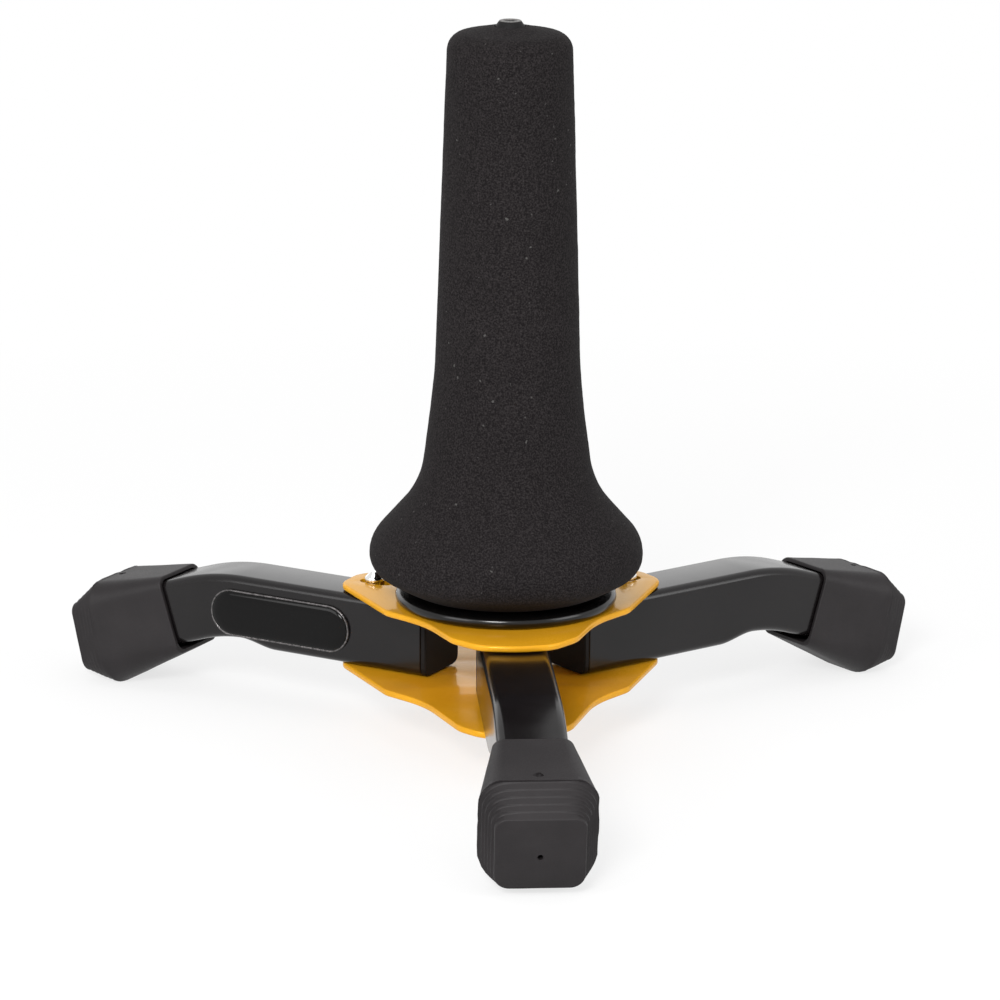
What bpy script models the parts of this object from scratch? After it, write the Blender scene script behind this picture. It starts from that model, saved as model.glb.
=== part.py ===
"""Folding table-top stand for a soprano saxophone.

A foam-covered peg stands on a hub of two lobed plates. Three square tube legs
run out between the plates and end in stepped rubber boots. The front leg is
fixed; the left and right legs ride on pins in short radial slots, so each can
be drawn out, turned about its pin and laid beside the front leg.
The frame is metres with +Z up, the floor at z = 0 and the front leg along -Y.
"""
import math

import bmesh
import bpy
from mathutils import Vector

MM = 0.001

# General clearances
seat_gap = 0.3 * MM
press_gap = 0.15 * MM
leg_clearance = 0.4 * MM
slot_clearance = 0.3 * MM
bolt_clearance = 0.3 * MM
bush_clearance = 0.15 * MM
cutter_overrun = 2.0 * MM

# Hub plates
plate_thickness = 2.0 * MM
plate_gap = 23.2 * MM
lower_plate_height = 16.8 * MM
lobe_reach = 54.5 * MM
lobe_tip_rounding = 8.0 * MM
rear_lobe_front_side = 5.6 * MM
rear_lobe_back_side = 6.7 * MM
lower_front_reach = 55.5 * MM
lower_front_corner = (10.5 * MM, -54.0 * MM)
lower_front_flank = (17.1 * MM, -46.7 * MM)
upper_front_reach = 50.0 * MM
upper_front_corner = (11.0 * MM, -48.2 * MM)
upper_front_flank = (18.9 * MM, -40.0 * MM)
front_edge_rounding = 30.0 * MM
front_corner_rounding = 12.0 * MM
front_flank_rounding = 12.0 * MM
waist = (26.1 * MM, -21.5 * MM)
waist_rounding = 40.0 * MM
hip = (37.3 * MM, -9.5 * MM)
hip_rounding = 9.0 * MM
back_edge_reach = 38.2 * MM
back_edge_rounding = 40.0 * MM
plate_edge_rounding = 0.5 * MM

# Pins that the side legs turn on, and their slots
pin_diameter = 4.2 * MM
pin_home = 45.5 * MM
slot_inner_end = 39.0 * MM
slot_outer_end = 50.1 * MM
pin_head_diameter = 5.8 * MM
pin_head_height = 3.0 * MM
pin_tail_diameter = 6.4 * MM
pin_tail_height = 1.2 * MM
pin_washer_diameter = 9.6 * MM
pin_washer_thickness = 1.2 * MM
bush_wall = 1.8 * MM

# Centre stack
bolt_diameter = 8.0 * MM
bolt_head_across_flats = 13.0 * MM
bolt_head_height = 5.3 * MM
bolt_grip_in_peg = 24.0 * MM
washer_diameter = 17.0 * MM
washer_thickness = 1.6 * MM
spacer_diameter = 18.0 * MM
flange_diameter = 67.6 * MM
flange_thickness = 3.6 * MM
flange_rim_rounding = 1.6 * MM

# Peg inside the foam
peg_diameter = 14.0 * MM
peg_wall = 1.4 * MM
insert_depth = 27.0 * MM
cap_depth = 10.0 * MM
cap_collar = 1.4 * MM
nub_base_diameter = 8.8 * MM
nub_top_diameter = 6.4 * MM
nub_height = 1.9 * MM
nub_recess_diameter = 4.4 * MM
nub_recess_depth = 0.5 * MM

# Foam sleeve
foam_top_height = 221.0 * MM
foam_bulge_diameter = 83.7 * MM
foam_bulge_rounding = 13.3 * MM
foam_flare_slope = math.radians(48.3)
foam_belly_rise = 6.8 * MM
foam_belly_rounding = 12.6 * MM
foam_seat_diameter = 58.3 * MM
foam_seat_rounding = 14.7 * MM
foam_neck_diameter = 53.0 * MM
foam_neck_height = 81.1 * MM
foam_neck_rounding = 26.0 * MM
foam_waist_diameter = 44.4 * MM
foam_waist_height = 113.6 * MM
foam_waist_rounding = 250.0 * MM
foam_tip_diameter = 37.6 * MM
foam_tip_dome = 2.6 * MM
foam_tip_rounding = 5.6 * MM
foam_bore_clearance = 0.3 * MM

# Legs
leg_width = 20.5 * MM
leg_corner_rounding = 2.6 * MM
leg_wall = 1.3 * MM
leg_inner_end = 21.1 * MM
leg_bend_start = 89.0 * MM
leg_bend_radius = 59.0 * MM
leg_bend_angle = math.radians(18.0)
leg_tail = 23.0 * MM
pinch_length = 13.0 * MM
pinch_depth = 2.2 * MM
pinch_left_over = 1.7 * MM
open_angle = math.radians(120.0)
turned_past = math.radians(2.9)

# Inner plugs of the legs
plug_face = 1.6 * MM
plug_depth = 8.0 * MM

# Screws that hold the front leg to the lower plate
screw_diameter = 4.0 * MM
screw_head_diameter = 8.0 * MM
screw_head_height = 2.2 * MM
screw_first = 36.0 * MM
screw_spacing = 12.0 * MM
screw_grip = 3.6 * MM
nut_across_flats = 7.0 * MM
nut_thickness = 3.2 * MM

# Rubber boots
boot_mouth_after_bend = 7.0 * MM
boot_lip = 1.6 * MM
boot_lip_rounding = 0.8 * MM
boot_mouth_corner = 3.6 * MM
boot_mouth_droop = 1.6 * MM
boot_droop_length = 7.0 * MM
boot_floor_gap = 0.5 * MM
boot_ridge_top = (23.7 * MM, 15.6 * MM)
boot_ridge_bottom_along = 26.6 * MM
boot_tread_length = 3.0 * MM
boot_ridge_half_width = 16.8 * MM
boot_ridge_corner = 7.0 * MM
boot_ridge_low_corner = 11.0 * MM
boot_ridge_land = 0.7 * MM
boot_end_top = (34.9 * MM, 10.4 * MM)
boot_end_bottom = (36.8 * MM, -12.2 * MM)
boot_end_half_width = 12.9 * MM
boot_end_corner = 3.4 * MM
boot_end_low_corner = 4.4 * MM
boot_end_rounding = 0.5 * MM
boot_steps = 5
boot_step_riser = 0.24
boot_vent_diameter = 1.6 * MM
boot_vent_depth = 3.0 * MM
boot_vent_below_middle = 1.0 * MM

# Domed badge on the left leg
badge_centre = 73.3 * MM
badge_length = 50.2 * MM
badge_height = 14.9 * MM
badge_thickness = 1.5 * MM
badge_rim_height = 0.7 * MM
badge_drop = 0.4 * MM

# Heights that follow from the sizes above
lower_plate_top = lower_plate_height + plate_thickness
upper_plate_under = lower_plate_top + plate_gap
upper_plate_top = upper_plate_under + plate_thickness
leg_bottom = lower_plate_top + leg_clearance
leg_top = upper_plate_under - leg_clearance
leg_height = leg_top - leg_bottom
leg_middle = (leg_top + leg_bottom) / 2
flange_under = upper_plate_top + seat_gap
flange_top = flange_under + flange_thickness
peg_under = flange_top + seat_gap
slot_width = pin_diameter + 2 * slot_clearance
bolt_hole_radius = bolt_diameter / 2 + bolt_clearance


# Scene and object helpers

for old in list(bpy.data.objects):
    bpy.data.objects.remove(old, do_unlink=True)

stand_collection = bpy.data.collections.new("soprano_saxophone_stand")
cutter_collection = bpy.data.collections.new("cutters")
bpy.context.scene.collection.children.link(stand_collection)
bpy.context.scene.collection.children.link(cutter_collection)


def make_material(name, colour, roughness, metallic, coat=0.0):
    material = bpy.data.materials.new(name)
    material.use_nodes = True
    shader = material.node_tree.nodes["Principled BSDF"]
    shader.inputs["Base Color"].default_value = (*colour, 1.0)
    shader.inputs["Roughness"].default_value = roughness
    shader.inputs["Metallic"].default_value = metallic
    shader.inputs["Coat Weight"].default_value = coat
    material.diffuse_color = (*colour, 1.0)
    return material


def gold(name):
    return make_material(name, (0.80, 0.46, 0.06), 0.16, 1.0)


def satin_black(name):
    return make_material(name, (0.035, 0.034, 0.035), 0.34, 0.0, 0.3)


def gloss_black(name):
    return make_material(name, (0.012, 0.012, 0.013), 0.10, 0.0, 0.6)


def black_rubber(name):
    return make_material(name, (0.045, 0.044, 0.046), 0.62, 0.0)


def black_plastic(name):
    return make_material(name, (0.03, 0.03, 0.03), 0.45, 0.0)


def black_foam(name):
    return make_material(name, (0.020, 0.019, 0.019), 0.95, 0.0)


def bright_steel(name):
    return make_material(name, (0.78, 0.78, 0.77), 0.14, 1.0)


def zinc_steel(name):
    return make_material(name, (0.55, 0.56, 0.57), 0.32, 1.0)


def add_object(name, mesh, material, parent=None, location=(0, 0, 0), turn=0.0):
    """Link a mesh as one named piece, placed under its parent."""
    piece = bpy.data.objects.new(name, mesh)
    stand_collection.objects.link(piece)
    if material is not None:
        if len(mesh.materials) == 0:
            mesh.materials.append(material)
        piece.material_slots[0].link = 'OBJECT'
        piece.material_slots[0].material = material
    piece.parent = parent
    piece.location = location
    piece.rotation_euler = (0, 0, turn)
    return piece


def add_empty(name, parent=None, location=(0, 0, 0), turn=0.0):
    empty = bpy.data.objects.new(name, None)
    empty.empty_display_size = 10 * MM
    stand_collection.objects.link(empty)
    empty.parent = parent
    empty.location = location
    empty.rotation_euler = (0, 0, turn)
    return empty


def add_cutter(name, mesh, parent=None, location=(0, 0, 0), turn=0.0):
    cutter = bpy.data.objects.new(name, mesh)
    cutter_collection.objects.link(cutter)
    cutter.hide_render = True
    cutter.display_type = 'WIRE'
    cutter.parent = parent
    cutter.location = location
    cutter.rotation_euler = (0, 0, turn)
    return cutter


def cut(piece, cutter):
    boolean = piece.modifiers.new("cut_" + cutter.name, 'BOOLEAN')
    boolean.operation = 'DIFFERENCE'
    boolean.solver = 'EXACT'
    boolean.object = cutter


def shade(piece, angle=35.0):
    piece.data.shade_smooth()
    piece.data.set_sharp_from_angle(angle=math.radians(angle))


# Outline helpers

def arc_points(centre, radius, start, end, steps):
    points = []
    for index in range(steps + 1):
        angle = start + (end - start) * index / steps
        points.append((centre[0] + radius * math.cos(angle),
                       centre[1] + radius * math.sin(angle)))
    return points


def round_corner(before, corner, after, radius, steps):
    """Arc of the given radius in place of a corner, or the corner if it is tiny."""
    into = (Vector(before) - Vector(corner)).normalized()
    out = (Vector(after) - Vector(corner)).normalized()
    half = into.angle(out) / 2
    reach = radius / math.tan(half)
    limit = 0.49 * min((Vector(before) - Vector(corner)).length,
                       (Vector(after) - Vector(corner)).length)
    if reach > limit:
        reach = limit
        radius = reach * math.tan(half)
    if radius < 0.01 * MM:
        return [tuple(corner)]
    middle = (into + out).normalized()
    centre = Vector(corner) + middle * (radius / math.sin(half))
    first = Vector(corner) + into * reach - centre
    last = Vector(corner) + out * reach - centre
    start = math.atan2(first.y, first.x)
    sweep = math.atan2(last.y, last.x) - start
    sweep = (sweep + math.pi) % (2 * math.pi) - math.pi
    return arc_points(centre, radius, start, start + sweep, steps)


def rounded_path(corners, closed, steps=6):
    """Corners are (x, y, rounding); an open path keeps its two end points."""
    points = []
    count = len(corners)
    for index, (x, y, radius) in enumerate(corners):
        at_end = not closed and index in (0, count - 1)
        if at_end or radius == 0:
            points.append((x, y))
            continue
        before = corners[index - 1][:2]
        after = corners[(index + 1) % count][:2]
        points.extend(round_corner(before, (x, y), after, radius, steps))
    return points


def circle_outline(x, y, radius, steps=16):
    return arc_points((x, y), radius, 0, 2 * math.pi * (steps - 1) / steps, steps - 1)


def slot_outline(inner, outer, width, direction, steps=6):
    """Slot with round ends, from the inner to the outer distance along a direction."""
    radius = width / 2
    far = arc_points((outer - radius, 0), radius, -math.pi / 2, math.pi / 2, steps)
    near = arc_points((inner + radius, 0), radius, math.pi / 2, 3 * math.pi / 2, steps)
    cos, sin = math.cos(direction), math.sin(direction)
    return [(x * cos - y * sin, x * sin + y * cos) for x, y in far + near]


# Solid helpers

def flat_mesh(name, outlines, thickness, edge_rounding):
    """Extruded 2D outlines, holes included, the outer rim softened, centred on z = 0."""
    curve = bpy.data.curves.new(name, 'CURVE')
    curve.dimensions = '2D'
    curve.fill_mode = 'BOTH'
    curve.extrude = thickness / 2
    for outline in outlines:
        spline = curve.splines.new('POLY')
        spline.points.add(len(outline) - 1)
        for point, (x, y) in zip(spline.points, outline):
            point.co = (x, y, 0, 1)
        spline.use_cyclic_u = True
    holder = bpy.data.objects.new(name, curve)
    bpy.context.scene.collection.objects.link(holder)
    view = bpy.context.evaluated_depsgraph_get()
    mesh = bpy.data.meshes.new_from_object(holder.evaluated_get(view))
    bpy.data.objects.remove(holder, do_unlink=True)
    bpy.data.curves.remove(curve)
    work = bmesh.new()
    work.from_mesh(mesh)
    bmesh.ops.remove_doubles(work, verts=work.verts, dist=0.001 * MM)
    bmesh.ops.dissolve_limit(work, angle_limit=math.radians(0.5),
                             verts=work.verts, edges=work.edges)
    if edge_rounding > 0:
        outer = {(round(x * 1e6), round(y * 1e6)) for x, y in outlines[0]}
        rims = [edge for edge in work.edges if edge.calc_face_angle(0) > math.radians(60)
                and all((round(v.co.x * 1e6), round(v.co.y * 1e6)) in outer for v in edge.verts)]
        bmesh.ops.bevel(work, geom=rims, offset=edge_rounding, offset_type='OFFSET',
                        segments=2, profile=0.5, affect='EDGES', clamp_overlap=True)
    bmesh.ops.recalc_face_normals(work, faces=work.faces)
    work.to_mesh(mesh)
    work.free()
    mesh.name = name
    return mesh


def turned(name, profile, material, parent, location=(0, 0, 0), steps=32, closed=False):
    """Profile of (radius, height), down the outer side, swept round the Z axis."""
    mesh = bpy.data.meshes.new(name)
    work = bmesh.new()
    corners = [work.verts.new((radius, 0, height)) for radius, height in profile]
    for first, second in zip(corners, corners[1:]):
        work.edges.new((first, second))
    if closed:
        work.edges.new((corners[-1], corners[0]))
    work.to_mesh(mesh)
    work.free()
    piece = add_object(name, mesh, material, parent, location)
    screw = piece.modifiers.new("turn", 'SCREW')
    screw.axis = 'Z'
    screw.angle = 2 * math.pi
    screw.steps = steps
    screw.render_steps = steps
    screw.use_merge_vertices = True
    screw.merge_threshold = 0.00001
    screw.use_smooth_shade = True
    return piece


def ring(outer, inner, low, high, softening=0.0):
    """Closed profile of a plain washer or sleeve, down its outer side."""
    if softening == 0:
        return [(outer, high), (outer, low), (inner, low), (inner, high)]
    return [(outer - softening, high), (outer, high - softening),
            (outer, low + softening), (outer - softening, low), (inner, low), (inner, high)]


def loft(name, rings, caps=True):
    """Skin over closed rings of points, all with the same number of points."""
    mesh = bpy.data.meshes.new(name)
    work = bmesh.new()
    rows = [[work.verts.new(point) for point in points] for points in rings]
    count = len(rows[0])
    for low, high in zip(rows, rows[1:]):
        for index in range(count):
            other = (index + 1) % count
            work.faces.new((low[index], low[other], high[other], high[index]))
    if caps:
        work.faces.new(list(reversed(rows[0])))
        work.faces.new(rows[-1])
    bmesh.ops.recalc_face_normals(work, faces=work.faces)
    work.to_mesh(mesh)
    work.free()
    return mesh


def rounded_section(top, bottom, half_width, rounding, corner_steps=3, low_rounding=None):
    """Rounded rectangle across a leg: its middle line runs from bottom to top,
    both (along, height) in the leg's upright plane. Points are (along, side, height).
    The two lower corners can have a rounding of their own."""
    middle = (Vector(top) + Vector(bottom)) / 2
    up = (Vector(top) - Vector(bottom)).normalized()
    half_height = (Vector(top) - Vector(bottom)).length / 2
    points = []
    for side, height, start in ((1, 1, 0), (-1, 1, 1), (-1, -1, 2), (1, -1, 3)):
        radius = low_rounding if height < 0 and low_rounding is not None else rounding
        for step in range(corner_steps + 1):
            angle = (start + step / corner_steps) * math.pi / 2
            across = side * (half_width - radius) + radius * math.cos(angle)
            rise = height * (half_height - radius) + radius * math.sin(angle)
            points.append(Vector((middle.x + up.x * rise, across, middle.y + up.y * rise)))
    return points


# Legs

bend_length = leg_bend_radius * leg_bend_angle
bend_end = leg_bend_start + bend_length


def leg_frame(distance):
    """Middle line of a leg at a distance from the hub: point, outward axis, up axis."""
    turn = min(max(distance - leg_bend_start, 0) / leg_bend_radius, leg_bend_angle)
    straight = min(distance, leg_bend_start)
    tail = max(distance - bend_end, 0)
    axis = Vector((math.cos(turn), -math.sin(turn)))
    up = Vector((math.sin(turn), math.cos(turn)))
    point = Vector((straight + leg_bend_radius * math.sin(turn),
                    leg_middle - leg_bend_radius * (1 - math.cos(turn))))
    return point + axis * tail, axis, up


def pinch(distance):
    """How far the underside is pressed in by the bend."""
    start = leg_bend_start - pinch_length
    if distance <= start:
        return 0.0
    if distance <= leg_bend_start:
        share = (distance - start) / pinch_length
        return pinch_depth * (3 * share ** 2 - 2 * share ** 3)
    share = min((distance - leg_bend_start) / bend_length, 1.0)
    return pinch_depth + (pinch_left_over - pinch_depth) * share


def leg_section(distance, grow=0.0, droop=0.0):
    point, axis, up = leg_frame(distance)
    top = point + up * (leg_height / 2 + grow)
    bottom = point - up * (leg_height / 2 - pinch(distance) + grow + droop)
    return rounded_section(top, bottom, leg_width / 2 + grow, leg_corner_rounding + grow)


def leg_stations():
    start = leg_bend_start - pinch_length
    pinched = [start + pinch_length * index / 5 for index in range(6)]
    bent = [leg_bend_start + bend_length * index / 7 for index in range(1, 8)]
    inner = leg_inner_end + plug_face + seat_gap
    return [inner] + pinched + bent + [bend_end + leg_tail]


def about_pin(points):
    """Shift a ring so that the pin's axis at mid height is its origin."""
    return [point - Vector((pin_home, 0, leg_middle)) for point in points]


leg_mesh = loft("leg", [about_pin(leg_section(distance)) for distance in leg_stations()],
                caps=False)


def plug_mesh():
    """End plug: a face as large as the tube and a tongue inside it."""
    top, bottom = leg_top, leg_bottom
    half = leg_width / 2
    soften = 0.4 * MM
    inset = leg_wall + press_gap
    inner_rounding = leg_corner_rounding - inset
    face_end = leg_inner_end + plug_face
    rings = []
    for along, shrink, rounding in (
            (leg_inner_end, soften, leg_corner_rounding - soften),
            (leg_inner_end + soften, 0.0, leg_corner_rounding),
            (face_end, 0.0, leg_corner_rounding),
            (face_end, inset, inner_rounding),
            (face_end + plug_depth - 2 * soften, inset, inner_rounding),
            (face_end + plug_depth, inset + soften, inner_rounding - soften)):
        rings.append(about_pin(rounded_section((along, top - shrink), (along, bottom + shrink),
                                               half - shrink, rounding)))
    return loft("inner_plug", rings)


# Boots

mouth_point, mouth_axis, mouth_up = leg_frame(bend_end + boot_mouth_after_bend)


def boot_point(along, rise):
    return mouth_point + mouth_axis * along + mouth_up * rise


def floor_rise(along):
    """Rise in the boot's own frame that lies on the floor."""
    return -(mouth_point.y + mouth_axis.y * along) / mouth_up.y


mouth_rise = leg_height / 2 + boot_lip
mouth_fall = -(leg_height / 2 - pinch_left_over + boot_mouth_droop + boot_lip)
mouth_half_width = leg_width / 2 + boot_lip


def boot_rings():
    soft = boot_lip_rounding
    rings = [
        rounded_section(boot_point(0, mouth_rise - soft), boot_point(0, mouth_fall + soft),
                        mouth_half_width - soft, boot_mouth_corner - soft, 4),
        rounded_section(boot_point(soft, mouth_rise), boot_point(soft, mouth_fall),
                        mouth_half_width, boot_mouth_corner, 4),
    ]
    ridge_top = Vector(boot_ridge_top)
    tread = boot_ridge_bottom_along
    rings.append(rounded_section(boot_point(*ridge_top), boot_point(tread, floor_rise(tread)),
                                 boot_ridge_half_width, boot_ridge_corner, 4,
                                 boot_ridge_low_corner))
    land_top = ridge_top + Vector((boot_ridge_land, -0.2 * boot_ridge_land))
    tread += boot_tread_length
    land_bottom = Vector((tread, floor_rise(tread)))
    rings.append(rounded_section(boot_point(*land_top), boot_point(*land_bottom),
                                 boot_ridge_half_width, boot_ridge_corner, 4,
                                 boot_ridge_low_corner))
    end_top = Vector(boot_end_top)
    end_bottom = Vector(boot_end_bottom)
    for step in range(boot_steps):
        for share, size_share in (
                ((step + boot_step_riser) / boot_steps, (step + 0.62) / boot_steps),
                ((step + 1.0) / boot_steps, (step + 1.0) / boot_steps)):
            top = land_top.lerp(end_top, share)
            top.y = land_top.y + (end_top.y - land_top.y) * size_share
            bottom = land_bottom.lerp(end_bottom, share)
            bottom.y = land_bottom.y + (end_bottom.y - land_bottom.y) * size_share
            half = boot_ridge_half_width + (boot_end_half_width - boot_ridge_half_width) * size_share
            corner = boot_ridge_corner + (boot_end_corner - boot_ridge_corner) * size_share
            low_corner = (boot_ridge_low_corner
                          + (boot_end_low_corner - boot_ridge_low_corner) * size_share)
            rings.append(rounded_section(boot_point(*top), boot_point(*bottom), half, corner, 4,
                                         low_corner))
    soft = boot_end_rounding
    top = boot_point(end_top.x + soft, end_top.y - soft)
    bottom = boot_point(end_bottom.x + soft, end_bottom.y + soft)
    rings.append(rounded_section(top, bottom, boot_end_half_width - soft,
                                 boot_end_corner - soft, 4, boot_end_low_corner - soft))
    return rings


boot_outline = boot_rings()
boot_mesh = loft("boot", [about_pin(points) for points in boot_outline])


def boot_hollow():
    """The room inside a boot: a close fit round the tube, wider below at the mouth."""
    mouth = bend_end + boot_mouth_after_bend
    rings = []
    for distance, droop in ((mouth - cutter_overrun, boot_mouth_droop),
                            (mouth, boot_mouth_droop),
                            (mouth + boot_droop_length, 0.0),
                            (bend_end + leg_tail + boot_floor_gap, 0.0)):
        rings.append(about_pin(leg_section(distance, seat_gap, droop)))
    return loft("boot_hollow", rings)


boot_hollow_mesh = boot_hollow()


def vent_mesh():
    """Small blind moulding hole in the end face of a boot, square to it."""
    top = boot_point(*boot_end_top)
    bottom = boot_point(*boot_end_bottom)
    up = (top - bottom).normalized()
    out = Vector((up.y, -up.x))
    middle = (top + bottom) / 2 - up * boot_vent_below_middle
    rings = []
    for depth in (-boot_vent_depth, cutter_overrun):
        centre = middle + out * (depth + boot_end_rounding)
        points = []
        for index in range(8):
            angle = 2 * math.pi * index / 8
            side = boot_vent_diameter / 2 * math.cos(angle)
            rise = boot_vent_diameter / 2 * math.sin(angle)
            points.append(Vector((centre.x + up.x * rise, side, centre.y + up.y * rise)))
        rings.append(about_pin(points))
    return loft("boot_vent", rings)


boot_vent_mesh = vent_mesh()

# The stand's box is centred on the origin, so the hub sits a little behind it
front_reach = max(point.x for points in boot_outline for point in points)
rear_turn = open_angle + turned_past - math.pi / 2
rear_reach = max((point.x - pin_home) * math.sin(rear_turn) + abs(point.y) * math.cos(rear_turn)
                 for points in boot_outline for point in points)
rear_reach += pin_home * math.sin(open_angle - math.pi / 2)
hub_y = (front_reach - rear_reach) / 2

hub = add_empty("hub_centre", None, (0, hub_y, 0))
front_direction = -math.pi / 2
left_direction = front_direction - open_angle
right_direction = front_direction + open_angle


def pin_place(direction):
    return (pin_home * math.cos(direction), pin_home * math.sin(direction), leg_middle)


def leg_cutter(name, radius, along, low, high, parent):
    """Upright round cutter in a leg's own space."""
    work = bmesh.new()
    bmesh.ops.create_cone(work, cap_ends=True, segments=20, radius1=radius, radius2=radius,
                          depth=high - low)
    mesh = bpy.data.meshes.new(name)
    work.to_mesh(mesh)
    work.free()
    return add_cutter(name, mesh, parent,
                      (along - pin_home, 0, (low + high) / 2 - leg_middle))


def make_leg(side, parent):
    """Tube, boot and inner plug of one leg, under an empty on the pin's axis."""
    tube = add_object(side + "_leg", leg_mesh, satin_black(side + "_leg"), parent)
    wall = tube.modifiers.new("wall", 'SOLIDIFY')
    wall.thickness = leg_wall
    wall.offset = -1
    wall.use_even_offset = True
    boot = add_object(side + "_foot", boot_mesh, black_rubber(side + "_foot"), parent)
    cut(boot, add_cutter(side + "_boot_hollow", boot_hollow_mesh, parent))
    cut(boot, add_cutter(side + "_boot_vent", boot_vent_mesh, parent))
    add_object(side + "_inner_plug", inner_plug_mesh, black_plastic(side + "_inner_plug"), parent)
    return tube


inner_plug_mesh = plug_mesh()
for mesh in (leg_mesh, boot_mesh, inner_plug_mesh):
    mesh.shade_smooth()
    mesh.set_sharp_from_angle(angle=math.radians(28.0))


# Hub plates

def plate_outline(front_reach, corner, flank):
    """A front lobe of the given size and two narrow rear ones, with a waist and hip between."""
    cos, sin = math.cos(right_direction), math.sin(right_direction)
    rear_tip = [(lobe_reach * cos - side * sin, lobe_reach * sin + side * cos, lobe_tip_rounding)
                for side in (-rear_lobe_front_side, rear_lobe_back_side)]
    right = [(*corner, front_corner_rounding),
             (*flank, front_flank_rounding),
             (*waist, waist_rounding),
             (*hip, hip_rounding)] + rear_tip
    left = [(-x, y, rounding) for x, y, rounding in reversed(right)]
    front = (0.0, -front_reach, front_edge_rounding)
    back = (0.0, back_edge_reach, back_edge_rounding)
    return rounded_path([front] + right + [back] + left, True, 4)


def plate_holes(with_screws):
    outlines = [circle_outline(0, 0, bolt_hole_radius)]
    for direction in (left_direction, right_direction):
        outlines.append(slot_outline(slot_inner_end, slot_outer_end, slot_width, direction))
    if with_screws:
        for index in range(2):
            along = screw_first + screw_spacing * index
            outlines.append(circle_outline(0, -along, screw_diameter / 2 + bolt_clearance, 12))
    return outlines


def make_plate(name, low, outline, with_screws):
    mesh = flat_mesh(name, [outline] + plate_holes(with_screws),
                     plate_thickness, plate_edge_rounding)
    plate = add_object(name, mesh, gold(name), hub, (0, 0, low + plate_thickness / 2))
    shade(plate)
    return plate


make_plate("lower_plate", lower_plate_height,
           plate_outline(lower_front_reach, lower_front_corner, lower_front_flank), True)
make_plate("upper_plate", upper_plate_under,
           plate_outline(upper_front_reach, upper_front_corner, upper_front_flank), False)


# Centre stack

turned("centre_spacer",
       ring(spacer_diameter / 2, bolt_hole_radius, lower_plate_top + seat_gap,
            upper_plate_under - seat_gap),
       zinc_steel("centre_spacer"), hub, steps=24, closed=True)

washer_top = lower_plate_height - seat_gap
washer_under = washer_top - washer_thickness
turned("centre_washer",
       ring(washer_diameter / 2, bolt_hole_radius, washer_under, washer_top, 0.2 * MM),
       zinc_steel("centre_washer"), hub, steps=20, closed=True)


def make_centre_bolt():
    """Hexagon bolt from below, up through the hub and into the peg's insert."""
    head_top = washer_under - seat_gap
    shank_top = peg_under + bolt_grip_in_peg
    shank_low = head_top - bolt_head_height / 2
    soften = 0.8 * MM
    shank = turned("centre_bolt",
                   [(0, shank_top), (bolt_diameter / 2 - soften, shank_top),
                    (bolt_diameter / 2, shank_top - soften),
                    (bolt_diameter / 2, shank_low), (0, shank_low)],
                   zinc_steel("centre_bolt"), hub, steps=24)
    work = bmesh.new()
    corner_radius = bolt_head_across_flats / math.sqrt(3)
    bmesh.ops.create_cone(work, cap_ends=True, segments=6, radius1=corner_radius,
                          radius2=corner_radius, depth=bolt_head_height)
    mesh = bpy.data.meshes.new("bolt_head")
    work.to_mesh(mesh)
    work.free()
    head = add_cutter("bolt_head", mesh, hub, (0, 0, head_top - bolt_head_height / 2))
    join = shank.modifiers.new("head", 'BOOLEAN')
    join.operation = 'UNION'
    join.solver = 'EXACT'
    join.object = head


make_centre_bolt()


def flange_profile():
    radius = flange_diameter / 2
    rim = flange_rim_rounding
    return rounded_path([(bolt_hole_radius, flange_top, 0), (radius, flange_top, rim),
                         (radius, flange_under, rim), (bolt_hole_radius, flange_under, 0)],
                        False, 3)


turned("flange_disc", flange_profile(), gloss_black("flange_disc"), hub, steps=36, closed=True)


# Peg

cap_collar_top = foam_top_height - foam_tip_dome
cap_collar_low = cap_collar_top - cap_collar
peg_top = cap_collar_low - seat_gap
peg_radius = peg_diameter / 2
peg_bore = peg_radius - peg_wall
turned("peg_tube", ring(peg_radius, peg_bore, peg_under, peg_top),
       zinc_steel("peg_tube"), hub, steps=24, closed=True)
turned("peg_insert",
       ring(peg_bore - press_gap, bolt_hole_radius, peg_under, peg_under + insert_depth),
       zinc_steel("peg_insert"), hub, steps=24, closed=True)


def cap_profile():
    """Plug, collar and the small tapered nub with its dimple, down the outer side."""
    nub_top = foam_top_height + nub_height - 0.2 * MM
    plug = peg_bore - press_gap
    return [(0, nub_top - nub_recess_depth),
            (nub_recess_diameter / 2, nub_top - nub_recess_depth),
            (nub_recess_diameter / 2, nub_top),
            (nub_top_diameter / 2 - 0.3 * MM, nub_top),
            (nub_top_diameter / 2, nub_top - 0.3 * MM),
            (nub_base_diameter / 2, foam_top_height),
            (nub_base_diameter / 2, cap_collar_top),
            (peg_radius, cap_collar_top),
            (peg_radius, cap_collar_low),
            (plug, cap_collar_low),
            (plug, cap_collar_low - cap_depth),
            (0, cap_collar_low - cap_depth)]


turned("peg_cap", cap_profile(), black_plastic("peg_cap"), hub, steps=20)


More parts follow.
